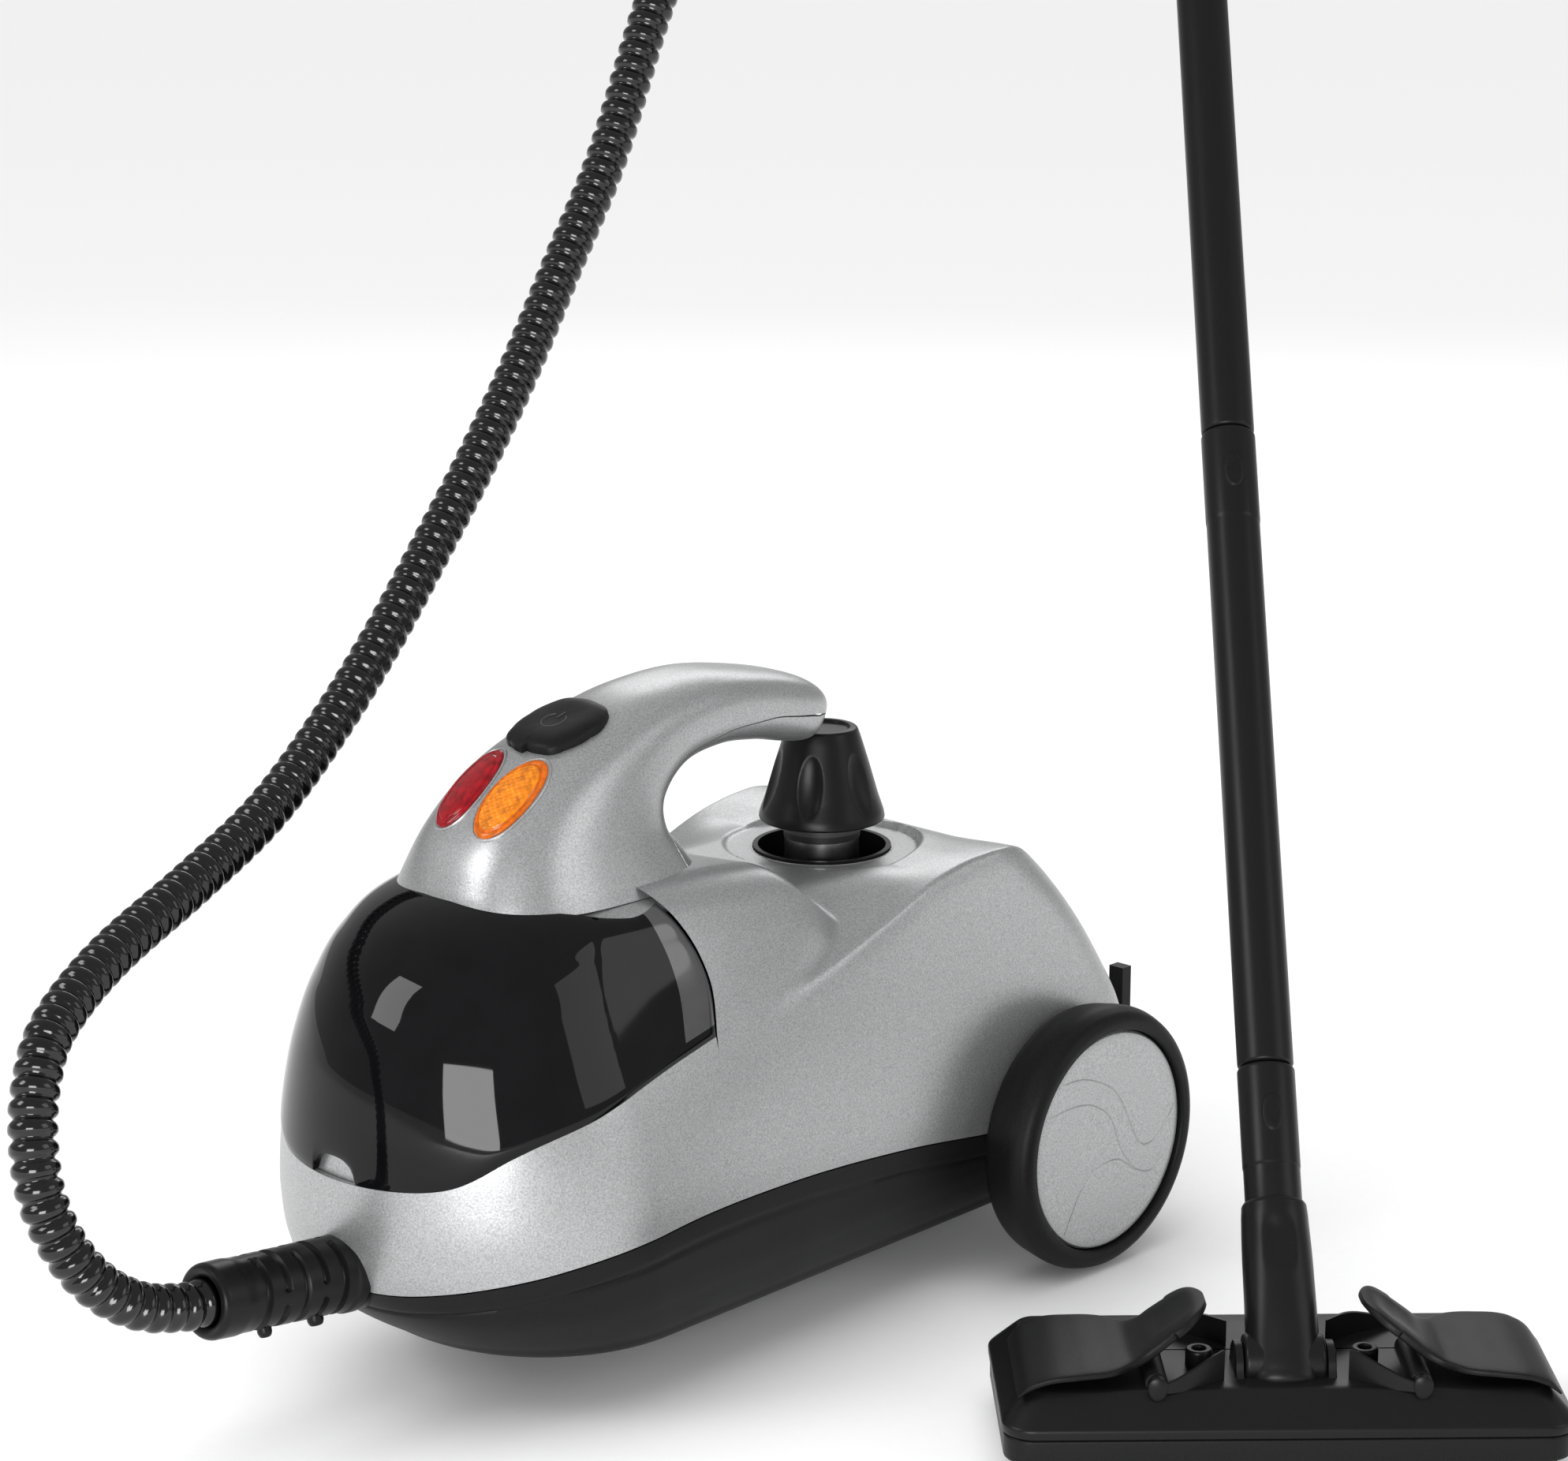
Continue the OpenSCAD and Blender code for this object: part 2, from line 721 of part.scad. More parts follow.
module neck_socket() {
    color(black) on_wand(0) difference() {
        union() {
            rotate([0, 90, 0]) translate([0, 0, -17]) cylinder(h = 34, r = 11, $fn = 40);
            hull() {
                translate([-15, -8, 6]) cube([30, 18, 2]);
                translate([0, 0, 52]) cylinder(h = 2, d = tube_d + 5, $fn = 32);
            }
            translate([0, 0, 50]) cylinder(h = neck_len - 50, d = tube_d, $fn = 40);
        }
        rotate([0, 90, 0]) translate([0, 0, -20]) cylinder(h = 40, r = 3.06, $fn = 32);
        translate([0, 0, neck_len - spigot - 2]) cylinder(h = spigot + 4, d = socket_d, $fn = 40);
        translate([0, 0, neck_len]) push_button_hole();
    }
}

module neck_button() {
    color(black) on_wand(neck_len) push_button();
}

module neck_pin() {
    color(steel) on_brush() translate(knuckle) translate([-24, 0, 0]) rotate([0, 90, 0])
        cylinder(h = 48, r = 3, $fn = 32);
}

// ---------- floor brush ----------

module brush_block(z0, h, inset, r) {
    translate([0, 0, z0]) linear_extrude(h) offset(r = r)
        square([brush_w - 2 * inset - 2 * r, brush_d - 2 * inset - 2 * r], center = true);
}

module brush_cover() {
    color(black) on_brush() difference() {
        union() {
            hull() {
                brush_block(22.4, 4, 0, 12);
                translate([0, 4, 0]) brush_block(39, 1, 12, 12);
            }
            for (s = [-1, 1])
                translate([s * 22 - 3, knuckle[1] - 9, 34]) cube([6, 18, 17]);
        }
        hull() {
            translate([-18.6, -60, 26]) cube([37.2, 30, 30]);
            translate([-18.6, 30, 30]) cube([37.2, 2, 30]);
        }
        translate([-108, -45, 20]) cube([216, 90, 4.5]);
        translate(knuckle) translate([-26, 0, 0]) rotate([0, 90, 0])
            cylinder(h = 52, r = 3, $fn = 32);
        for (s = [-1, 1])
            translate([s * 52 - 9, -34, 33]) cube([18, 40, 12]);
    }
}

module brush_rim() {
    color([0.12, 0.12, 0.13]) on_brush() difference() {
        brush_block(12, 10.2, 1, 12);
        translate([0, 0, -eps]) brush_block(11, 8, 4, 9);
    }
}

module bristles() {
    color([0.05, 0.05, 0.05]) on_brush()
        for (y = [-38, -13, 13, 38])
            translate([-104, y - 4, 0]) cube([208, 8, 18.6]);
}

// Side profile (x, z) of a clamp: pedal at the inner end, pad over the brush's end
CLAMP = [[31, 64.3], [35, 66.6], [50, 55.8], [61, 48.8], [82, 47.5], [97, 46.2], [104.5, 42.6],
    [108.3, 36.6], [105.9, 35.6], [102, 40.6], [95, 42.2], [81, 43.3], [60, 44], [47, 51], [32.5, 61.6]];

module clamp_slab(front, depth) {
    translate([0, front + depth, 0]) rotate([90, 0, 0]) linear_extrude(depth) polygon(CLAMP);
}

module clamp_arm(side) {
    on_brush() mirror([side < 0 ? 1 : 0, 0, 0]) difference() {
        union() {
            intersection() {
                clamp_slab(-32, 40);
                translate([49, -12, 0]) scale([20, 19.5, 1]) cylinder(h = 80, r = 1, $fn = 40);
            }
            intersection() {
                clamp_slab(-41, 60);
                translate([56, -50, 0]) cube([60, 80, 60]);
            }
            translate([47, -32, 35]) cube([10, 20, 15]);
        }
        translate([52, -40, 39.5]) rotate([-90, 0, 0]) cylinder(h = 60, r = 2.06, $fn = 24);
    }
}

module clamp_left() {
    color(black) clamp_arm(-1);
}

module clamp_right() {
    color(black) clamp_arm(1);
}

module clamp_pins() {
    color(steel) on_brush()
        for (s = [-1, 1])
            translate([s * 52, -36, 39.5]) rotate([-90, 0, 0]) cylinder(h = 44, r = 2, $fn = 24);
}

// ---------- steam hose ----------

function unit(v) = v / norm(v);
function heading(i) =
    i == 0 ? unit(HOSE[1] - HOSE[0])
    : i == len(HOSE) - 1 ? unit(HOSE[i] - HOSE[i - 1])
    : unit(unit(HOSE[i + 1] - HOSE[i]) + unit(HOSE[i] - HOSE[i - 1]));
// Side vector carried along the route without twisting
function carried(i) =
    i == 0 ? [1, 0, 0]
    : let (c = carried(i - 1), t = heading(i)) unit(c - (c * t) * t);
function ring(i) =
    let (t = heading(i), u = carried(i), v = cross(t, u))
    [for (k = [0:hose_sides - 1]) let (a = 360 * k / hose_sides)
        HOSE[i] + hose_d / 2 * (cos(a) * u + sin(a) * v)];

module steam_hose() {
    n = len(HOSE);
    m = hose_sides;
    points = [for (i = [0:n - 1]) each ring(i)];
    sides = [for (i = [0:n - 2], k = [0:m - 1])
        [i * m + k, i * m + (k + 1) % m, (i + 1) * m + (k + 1) % m, (i + 1) * m + k]];
    color(black) polyhedron(points, concat(
        [[for (k = [0:m - 1]) m - 1 - k]],
        [for (f = sides) [f[0], f[1], f[2]]], [for (f = sides) [f[0], f[2], f[3]]],
        [[for (k = [0:m - 1]) (n - 1) * m + k]]), convexity = 8);
}

base_shell();
upper_housing();
handle_upper_shell();
handle_lower_shell();
visor();
visor_tray();
lamp_red();
lamp_orange();
lamp_bulbs();
power_button();
power_switch();
filler_cup();
filler_neck();
cap_knob();
cap_plug();
cap_seal();
cap_spring();
boiler_upper();
boiler_lower();
heating_element();
thermostat();
solenoid_valve();
steam_pipe();
hose_nipple();
hose_sleeve();
terminal_block();
rear_axle();
tyre(-1);  // tyre_left
tyre(1);  // tyre_right
wheel_disc(-1);  // wheel_disc_left
wheel_disc(1);  // wheel_disc_right
axle_clips();
caster_socket();
caster_fork();
caster_axle();
caster_wheel();
housing_screws();
cord_gland();
rear_hook();
gun_shell_left();
gun_shell_right();
gun_trigger();
child_lock();
gun_switch();
gun_nozzle();
gun_gland();
upper_tube();
upper_button();
lower_tube();
lower_button();
neck_socket();
neck_button();
neck_pin();
brush_cover();
brush_rim();
bristles();
clamp_left();
clamp_right();
clamp_pins();
steam_hose();
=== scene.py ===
import json
import math

import bmesh
import bpy
import numpy as np
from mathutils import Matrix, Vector


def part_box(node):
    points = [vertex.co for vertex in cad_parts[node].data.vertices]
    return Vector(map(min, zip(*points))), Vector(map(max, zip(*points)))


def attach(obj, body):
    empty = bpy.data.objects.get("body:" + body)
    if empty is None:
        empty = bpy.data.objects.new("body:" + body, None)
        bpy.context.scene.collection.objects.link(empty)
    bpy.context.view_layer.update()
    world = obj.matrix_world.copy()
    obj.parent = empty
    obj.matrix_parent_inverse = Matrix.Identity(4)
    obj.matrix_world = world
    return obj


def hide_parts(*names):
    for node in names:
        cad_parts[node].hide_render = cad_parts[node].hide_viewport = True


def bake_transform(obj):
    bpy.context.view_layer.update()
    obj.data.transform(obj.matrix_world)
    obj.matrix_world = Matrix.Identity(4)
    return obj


MM = 0.001
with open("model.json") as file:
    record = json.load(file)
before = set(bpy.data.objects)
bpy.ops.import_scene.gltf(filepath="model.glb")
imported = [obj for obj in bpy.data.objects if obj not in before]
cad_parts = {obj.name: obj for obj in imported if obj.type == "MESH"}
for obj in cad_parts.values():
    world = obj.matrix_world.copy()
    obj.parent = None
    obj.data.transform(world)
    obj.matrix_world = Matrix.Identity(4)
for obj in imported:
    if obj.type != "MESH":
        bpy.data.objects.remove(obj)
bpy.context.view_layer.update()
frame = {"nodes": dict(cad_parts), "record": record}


# ---------- camera ----------

def make_camera():
    data = bpy.data.cameras.new("camera")
    data.sensor_fit = "HORIZONTAL"
    data.sensor_width = 36
    data.lens = 94.16
    data.clip_end = 100
    cam = bpy.data.objects.new("camera", data)
    bpy.context.scene.collection.objects.link(cam)
    cam.location = (1.2035, -1.3358, 0.6845)
    cam.rotation_euler = (math.radians(90 - 14.3), 0, math.radians(43.9))
    bpy.context.scene.camera = cam


make_camera()


# ---------- curves and surfaces ----------

def spline(xs, ys):
    """A smooth function through the points, flat beyond both ends."""
    xs, ys = np.asarray(xs, float), np.asarray(ys, float)
    h = np.diff(xs)
    d = np.diff(ys) / h
    m = np.concatenate([[d[0]], (d[:-1] * h[1:] + d[1:] * h[:-1]) / (h[1:] + h[:-1]), [d[-1]]])

    def value(x):
        x = np.clip(x, xs[0], xs[-1])
        i = np.clip(np.searchsorted(xs, x, side="right") - 1, 0, len(h) - 1)
        t = (x - xs[i]) / h[i]
        return ((2 * t**3 - 3 * t**2 + 1) * ys[i] + (t**3 - 2 * t**2 + t) * h[i] * m[i]
                + (3 * t**2 - 2 * t**3) * ys[i + 1] + (t**3 - t**2) * h[i] * m[i + 1])
    return value


def ramp(x, a, b):
    t = np.clip((x - a) / (b - a), 0, 1)
    return t * t * (3 - 2 * t)


def soft_max(a, b, r):
    return (a + b + np.sqrt((a - b) ** 2 + r * r)) / 2


def route(points, step):
    """Evenly spaced points along a smooth curve through the points."""
    p = np.asarray(points, float)
    q = np.vstack([2 * p[0] - p[1], p, 2 * p[-1] - p[-2]])
    t = np.linspace(0, 1, 24, endpoint=False)[:, None]
    parts = []
    for a, b, c, d in zip(q[:-3], q[1:-2], q[2:-1], q[3:]):
        parts.append(0.5 * (2 * b + (c - a) * t + (2 * a - 5 * b + 4 * c - d) * t**2
                            + (3 * b - a - 3 * c + d) * t**3))
    dense = np.vstack(parts + [p[-1:]])
    s = np.concatenate([[0], np.cumsum(np.linalg.norm(np.diff(dense, axis=0), axis=1))])
    n = max(2, int(round(s[-1] / step)) + 1)
    even = np.linspace(0, s[-1], n)
    return np.stack([np.interp(even, s, dense[:, k]) for k in range(3)], 1), even


def frames(line):
    """Tangent and two side vectors at each point of a line, carried along without twisting."""
    t = np.gradient(line, axis=0)
    t /= np.linalg.norm(t, axis=1)[:, None]
    u = np.zeros_like(t)
    first = np.array([1.0, 0, 0]) if abs(t[0][0]) < 0.9 else np.array([0, 0, 1.0])
    for i in range(len(t)):
        last = first if i == 0 else u[i - 1]
        v = last - np.dot(last, t[i]) * t[i]
        u[i] = v / np.linalg.norm(v)
    return t, u, np.cross(t, u)


def fillet(points, cut, n=6):
    """An open outline with its corners rounded. cut is how far back each corner is taken."""
    p = [np.asarray(q, float) for q in points]
    out = [p[0]]
    for a, b, c in zip(p[:-2], p[1:-1], p[2:]):
        la, lc = np.linalg.norm(a - b), np.linalg.norm(c - b)
        k = min(cut, la * 0.49, lc * 0.49)
        start, end = b + (a - b) * k / la, b + (c - b) * k / lc
        for t in np.linspace(0, 1, n):
            out.append((1 - t) ** 2 * start + 2 * t * (1 - t) * b + t * t * end)
    out.append(p[-1])
    return np.array(out)


def rounded_rect(a, b, r, n=10, between=0):
    """Closed outline with half sides a and b, corner radius r, and points between the corners."""
    t = np.radians(np.linspace(0, 90, n))
    parts = []
    for k, (cx, cy) in enumerate([(a - r, b - r), (r - a, b - r), (r - a, r - b), (a - r, r - b)]):
        ang = t + k * math.pi / 2
        parts.append(np.stack([cx + r * np.cos(ang), cy + r * np.sin(ang)], 1))
    out = []
    for k, part in enumerate(parts):
        out.append(part)
        share = np.linspace(0, 1, between + 2)[1:-1, None]
        out.append(part[-1] * (1 - share) + parts[(k + 1) % 4][0] * share)
    return np.vstack(out)


def superellipse(a, b, power, n=64):
    t = np.linspace(0, 2 * math.pi, n, endpoint=False)
    c, s = np.cos(t), np.sin(t)
    return np.stack([a * np.sign(c) * np.abs(c) ** (2 / power), b * np.sign(s) * np.abs(s) ** (2 / power)], 1)


class Build:
    """Collects grids of points into one mesh piece."""

    def __init__(self):
        self.points, self.faces, self.slots, self.count = [], [], [], 0

    def grid(self, rows, loop_rows=False, loop_cols=False, slot=0, keep=None):
        rows = np.asarray(rows, float)
        n, m = rows.shape[:2]
        i, j = np.meshgrid(np.arange(n if loop_rows else n - 1), np.arange(m if loop_cols else m - 1),
                           indexing="ij")
        i2, j2 = (i + 1) % n, (j + 1) % m
        quads = np.stack([i * m + j, i * m + j2, i2 * m + j2, i2 * m + j], -1).reshape(-1, 4)
        if keep is not None:
            quads = quads[keep(rows.reshape(-1, 3)[quads].mean(1))]
        self.points.append(rows.reshape(-1, 3))
        self.faces.append(quads + self.count)
        self.slots.append(np.full(len(quads), slot) if np.isscalar(slot) else slot)
        self.count += n * m
        return self

    def rings(self, rows, slot=0, start=True, end=True):
        """Closed rings with their ends filled."""
        rows = [np.asarray(r, float) for r in rows]
        if start:
            rows = [np.repeat(rows[0].mean(0)[None], len(rows[0]), 0)] + rows
        if end:
            rows = rows + [np.repeat(rows[-1].mean(0)[None], len(rows[-1]), 0)]
        return self.grid(np.array(rows), loop_cols=True, slot=slot)

    def turned(self, profile, origin, axis, n=96, slot=0, shape=None):
        """A profile of (radius, height) turned about an axis. shape(radius, height, angle) may bend the radius."""
        axis = Vector(axis).normalized()
        side = axis.orthogonal().normalized() if abs(axis.z) < 0.99 else Vector((1, 0, 0))
        other = np.array(axis.cross(side))
        side, axis, origin = np.array(side), np.array(axis), np.array(origin, float)
        p = np.asarray(profile, float)
        ang = np.linspace(0, 2 * math.pi, n, endpoint=False)
        r = np.repeat(p[:, :1], n, 1)
        if shape:
            r = shape(r, p[:, 1:2], ang[None, :])
        rows = (origin + p[:, 1][:, None, None] * axis
                + r[..., None] * (np.cos(ang)[None, :, None] * side + np.sin(ang)[None, :, None] * other))
        return self.grid(rows, loop_cols=True, slot=slot)

    def tube(self, points, radius, step, sides=10, slot=0, wave=None):
        line, s = route(points, step)
        _, u, v = frames(line)
        r = np.full(len(line), radius) if wave is None else wave(s)
        ang = np.linspace(0, 2 * math.pi, sides, endpoint=False)
        rows = line[:, None] + r[:, None, None] * (np.cos(ang)[None, :, None] * u[:, None]
                                                   + np.sin(ang)[None, :, None] * v[:, None])
        self.rings(rows, slot=slot)
        return line

    def make(self, name, materials, body, nodes=(), slot=None, sharp=38, weld=1e-6):
        mesh = bpy.data.meshes.new(name)
        pts, faces = np.vstack(self.points), np.vstack(self.faces)
        mesh.from_pydata(pts.tolist(), [], faces.tolist())
        mesh.polygons.foreach_set("material_index", np.concatenate(self.slots).astype(np.int32))
        bm = bmesh.new()
        bm.from_mesh(mesh)
        bmesh.ops.remove_doubles(bm, verts=bm.verts, dist=weld)
        loose = [v for v in bm.verts if not v.link_faces]
        bmesh.ops.delete(bm, geom=loose, context="VERTS")
        bmesh.ops.recalc_face_normals(bm, faces=bm.faces)
        bm.to_mesh(mesh)
        bm.free()
        mesh.validate()
        mesh.shade_smooth()
        mesh.set_sharp_from_angle(angle=math.radians(sharp))
        for m in materials:
            mesh.materials.append(m)
        obj = bpy.data.objects.new(name, mesh)
        bpy.context.scene.collection.objects.link(obj)
        if body:
            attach(obj, body)
        if nodes:
            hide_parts(*nodes)
        return obj


# ---------- materials ----------

def finish(name, colour, rough, metallic=0.0, grain=900.0, shade=0.12, bump=0.05, depth=0.1, spread=0.06,
           coat=0.0, clear=0.0, specular=0.5, detail=3.0):
    """A surface with fine procedural grain in its colour, roughness and relief."""
    mat = bpy.data.materials.new(name)
    mat.use_nodes = True
    nt = mat.node_tree
    shader = nt.nodes["Principled BSDF"]
    shader.inputs["Metallic"].default_value = metallic
    shader.inputs["Coat Weight"].default_value = coat
    shader.inputs["Coat Roughness"].default_value = 0.03
    shader.inputs["Transmission Weight"].default_value = clear
    shader.inputs["Specular IOR Level"].default_value = specular
    place = nt.nodes.new("ShaderNodeTexCoord")
    fine = nt.nodes.new("ShaderNodeTexNoise")
    fine.inputs["Scale"].default_value = grain
    fine.inputs["Detail"].default_value = detail
    broad = nt.nodes.new("ShaderNodeTexNoise")
    broad.inputs["Scale"].default_value = 22
    broad.inputs["Detail"].default_value = 4
    for n in (fine, broad):
        nt.links.new(place.outputs["Object"], n.inputs["Vector"])
    mix = nt.nodes.new("ShaderNodeMix")
    mix.data_type = "RGBA"
    mix.inputs["A"].default_value = [c * (1 - shade) for c in colour] + [1]
    mix.inputs["B"].default_value = [min(c * (1 + shade), 1) for c in colour] + [1]
    sharpen = nt.nodes.new("ShaderNodeMapRange")
    sharpen.inputs["From Min"].default_value = 0.32
    sharpen.inputs["From Max"].default_value = 0.68
    nt.links.new(fine.outputs["Fac"], sharpen.inputs["Value"])
    nt.links.new(sharpen.outputs["Result"], mix.inputs["Factor"])
    nt.links.new(mix.outputs["Result"], shader.inputs["Base Color"])
    gloss = nt.nodes.new("ShaderNodeMapRange")
    gloss.inputs["To Min"].default_value = max(rough - spread, 0.01)
    gloss.inputs["To Max"].default_value = rough + spread
    nt.links.new(broad.outputs["Fac"], gloss.inputs["Value"])
    nt.links.new(gloss.outputs["Result"], shader.inputs["Roughness"])
    relief = nt.nodes.new("ShaderNodeBump")
    relief.inputs["Strength"].default_value = bump
    relief.inputs["Distance"].default_value = depth * MM
    nt.links.new(fine.outputs["Fac"], relief.inputs["Height"])
    nt.links.new(relief.outputs["Normal"], shader.inputs["Normal"])
    return mat


SILVER = finish("silver_paint", (0.40, 0.404, 0.408), 0.34, metallic=0.7, grain=1300, shade=0.2, bump=0.22,
                depth=0.22, spread=0.04, detail=2)
BLACK = finish("black_plastic", (0.006, 0.006, 0.0065), 0.42, grain=1500, shade=0.25, bump=0.3, depth=0.2,
               specular=0.17)
SATIN = finish("satin_black", (0.006, 0.006, 0.0065), 0.33, grain=1800, shade=0.15, bump=0.12, depth=0.1,
               specular=0.2)
GLOSS = finish("gloss_black", (0.003, 0.003, 0.0035), 0.035, grain=60, shade=0.2, bump=0.02, depth=0.05,
               spread=0.012, coat=0.08, specular=0.2)
# Lighter grey for the visor's side edges: painted light, standing in for light refracted through the edge
EDGE_REFRACTION = finish("painted_edge_refraction", (0.05, 0.05, 0.052), 0.08, grain=80, shade=0.15, bump=0.02, depth=0.05,
               spread=0.02, coat=0.8)
HOSE_SKIN = finish("hose_skin", (0.003, 0.003, 0.0035), 0.13, grain=500, shade=0.2, bump=0.05, depth=0.1,
                   spread=0.03, coat=0.25, specular=0.4)
GREY = finish("dark_grey", (0.05, 0.05, 0.052), 0.45, grain=1200, shade=0.2, bump=0.2, depth=0.2)
RED = finish("lens_red", (0.22, 0.002, 0.006), 0.12, grain=300, shade=0.35, bump=0.08, depth=0.2, spread=0.03,
             coat=0.15, specular=0.3)
ORANGE = finish("lens_orange", (0.6, 0.17, 0.004), 0.16, grain=300, shade=0.3, bump=0.08, depth=0.2,
                spread=0.03, coat=0.15, specular=0.3)
AMBER = finish("lens_amber_deep", (0.5, 0.10, 0.002), 0.18, grain=400, shade=0.3, bump=0.1, depth=0.2,
               spread=0.03, coat=0.2, specular=0.3)
GLASS = finish("glass", (0.8, 0.8, 0.75), 0.08, grain=200, shade=0.1, bump=0.02, clear=0.6)
STEEL = finish("steel", (0.55, 0.55, 0.56), 0.26, metallic=1.0, grain=900, shade=0.08, bump=0.08)
ALLOY = finish("boiler_alloy", (0.5, 0.51, 0.52), 0.42, metallic=0.9, grain=700, shade=0.12, bump=0.2)
BRASS = finish("brass", (0.6, 0.42, 0.14), 0.3, metallic=1.0, grain=800, shade=0.1, bump=0.08)
COPPER = finish("copper", (0.62, 0.3, 0.18), 0.32, metallic=1.0, grain=800, shade=0.1, bump=0.08)
TYRE = finish("tyre", (0.006, 0.006, 0.0065), 0.46, grain=1500, shade=0.3, bump=0.4, depth=0.25,
              specular=0.15)
SEAL = finish("seal", (0.01, 0.009, 0.009), 0.5, grain=900, bump=0.1)
LIGHT = finish("light_plastic", (0.6, 0.6, 0.56), 0.5, grain=900, bump=0.1)
BRISTLE = finish("bristle", (0.006, 0.006, 0.006), 0.38, grain=1500, shade=0.3, bump=0.15, specular=0.15)

SLOT_FINISH = {"silver_paint": SILVER, "black_plastic": BLACK, "gloss_black": GLOSS, "dark_grey": GREY,
               "lens_red": RED, "lens_orange": ORANGE, "glass": GLASS, "steel": STEEL,
               "boiler_alloy": ALLOY, "brass": BRASS, "copper": COPPER, "tyre": TYRE, "seal": SEAL,
               "light_plastic": LIGHT, "bristle": BRISTLE, "hose_skin": HOSE_SKIN}
for part in frame["record"]["subparts"]:
    if part["node"] in frame["nodes"]:
        mesh = frame["nodes"][part["node"]].data
        mesh.materials.clear()
        mesh.materials.append(SLOT_FINISH[part["material_slot"]])
        mesh.polygons.foreach_set("material_index", np.zeros(len(mesh.polygons), np.int32))


# ---------- canister shape ----------

LEVELS = np.array([
    [15, 52, 46, -276, 48], [18, 62, 56, -288, 55], [30, 78, 71, -312, 62], [46, 88, 80, -334, 66],
    [62, 92, 84, -343, 67], [80, 94, 86, -346, 66], [105, 91, 86, -346, 60], [128, 86, 84, -344, 48],
    [150, 79, 82, -340, 34], [172, 71, 80, -332, 16], [190, 63, 78, -320, -2], [202, 55, 74, -305, -12],
    [208, 47, 70, -292, -20], [214, 36, 66, -276, -28]]) * MM
half_nose, half_rear, y_nose, y_rear = [spline(LEVELS[:, 0], LEVELS[:, k]) for k in (1, 2, 3, 4)]
REAR_R = 26 * MM
seam_z = spline(np.array([-360, -346, -331, -300, -245, -178, -100, -36, 80]) * MM,
                np.array([54, 56, 63, 72, 80, 81, 75, 66, 60]) * MM)
ridge_z = spline(np.array([-230, -215, -180, -148, -101, -60, -40, -16, 4, 24, 46, 60, 68]) * MM,
                 np.array([148.5, 149, 153, 160, 174, 188, 191, 190, 180, 158, 122, 90, 60]) * MM)
visor_low_z = spline(np.array([-370, -346, -330, -312, -274, -240, -208]) * MM,
                     np.array([104, 105, 109, 121, 134, 143, 150]) * MM)
visor_back_y = spline(np.array([150, 172, 192, 212]) * MM, np.array([-208, -206, -212, -224]) * MM)
SPLIT_Y = -208 * MM
COLLAR = np.array([0, -222, 58, 66]) * MM
FILLER_Y = -61 * MM
DECK_Z = 187 * MM


def side_x(y, z):
    """Half width of the canister at a place y and height z."""
    wf, wr, yf, yr = half_nose(z), half_rear(z), y_nose(z), y_rear(z)
    nose = wf * np.sqrt(np.clip(1 - ((y - yf - wf) / wf) ** 2, 0, 1))
    t = np.clip((y - yf - wf) / (yr - REAR_R - yf - wf), 0, 1)
    flank = wf + (wr - wf) * t
    back = flank - REAR_R + np.sqrt(np.clip(REAR_R**2 - np.clip(y - yr + REAR_R, 0, REAR_R) ** 2, 0, 1))
    return np.where(y < yf + wf, nose, np.where(y > yr - REAR_R, back, flank))


def nose_point(t, z):
    """A point of the nose: t runs from 0 at the tip to 1 at the split, at height z."""
    wf, yf = half_nose(z), y_nose(z)
    quarter = wf * math.pi / 2
    flank = np.maximum(SPLIT_Y - (yf + wf), 1e-4)
    s = t * (quarter + flank)
    ang = np.minimum(s, quarter) / wf - math.pi / 2
    x = wf * np.cos(ang)
    y = yf + wf + wf * np.sin(ang) + np.maximum(s - quarter, 0)
    return np.where(s > quarter, side_x(y, z), x), y


def solve(fn, lo, hi, steps=40):
    """The height between lo and hi where fn turns positive."""
    lo, hi = np.array(lo, float), np.array(hi, float)
    for _ in range(steps):
        mid = (lo + hi) / 2
        above = fn(mid) > 0
        hi, lo = np.where(above, mid, hi), np.where(above, lo, mid)
    return (lo + hi) / 2


def blur(rows, axis, times, weight=None):
    """Evens out points along one axis, with the ends kept."""
    p = np.moveaxis(np.array(rows, float), axis, 0)
    w = 1.0 if weight is None else np.moveaxis(weight, axis, 0)[1:-1]
    for _ in range(times):
        p[1:-1] += w * 0.5 * ((p[:-2] + p[2:]) / 2 - p[1:-1])
    return np.moveaxis(p, 0, axis)


def half_from_arch(x):
    """Height of the arch at the visor's rear edge at a distance x from the middle."""
    z = np.linspace(150, 213, 120) * MM
    w = side_x(np.full_like(z, SPLIT_Y), z)
    return np.where(x > w[0], z[0] - (x - w[0]) * 2.5, np.interp(-x, -w, z))


crest_y = spline(np.array([0, 20, 40, 57, 66, 71, 75, 79, 81.5]) * MM,
                 np.array([-162, -157, -150, -144, -141, -144, -155, -186, -208]) * MM)


def deck_height(x, y):
    edge = side_x(y, ridge_z(y))
    middle = np.where(y < -30 * MM, DECK_Z + 0 * y, DECK_Z - ramp(y, -30 * MM, 4 * MM) * 5 * MM)
    middle = np.where(y > -20 * MM, np.minimum(middle, ridge_z(y)), middle)
    share = 1 - ramp(np.abs(x) / edge, 0.42, 1.0)
    deck = ridge_z(y) + (np.maximum(middle, ridge_z(y)) - ridge_z(y)) * share
    deck = deck - 2.5 * MM * share * ramp(y, -80 * MM, -50 * MM) * (1 - ramp(y, -10 * MM, 20 * MM))
    d = np.hypot(x, y - FILLER_Y)
    arch = -soft_max(-half_from_arch(np.abs(x)), -209.5 * MM, 7 * MM)
    arch = arch - 0.95 * (soft_max(y - crest_y(np.abs(x)), 0,
                                   8 * MM) - 4 * MM * ramp(y, -150 * MM, -208 * MM))
    top = soft_max(deck, arch, 2.5 * MM)
    dish = 1 - ramp(d, 42.6 * MM, 44.4 * MM)
    flat = DECK_Z - 2.2 * MM
    return top * (1 - dish) + np.minimum(top, flat) * dish


WALL_ROWS, NOSE_COLS = 34, 92


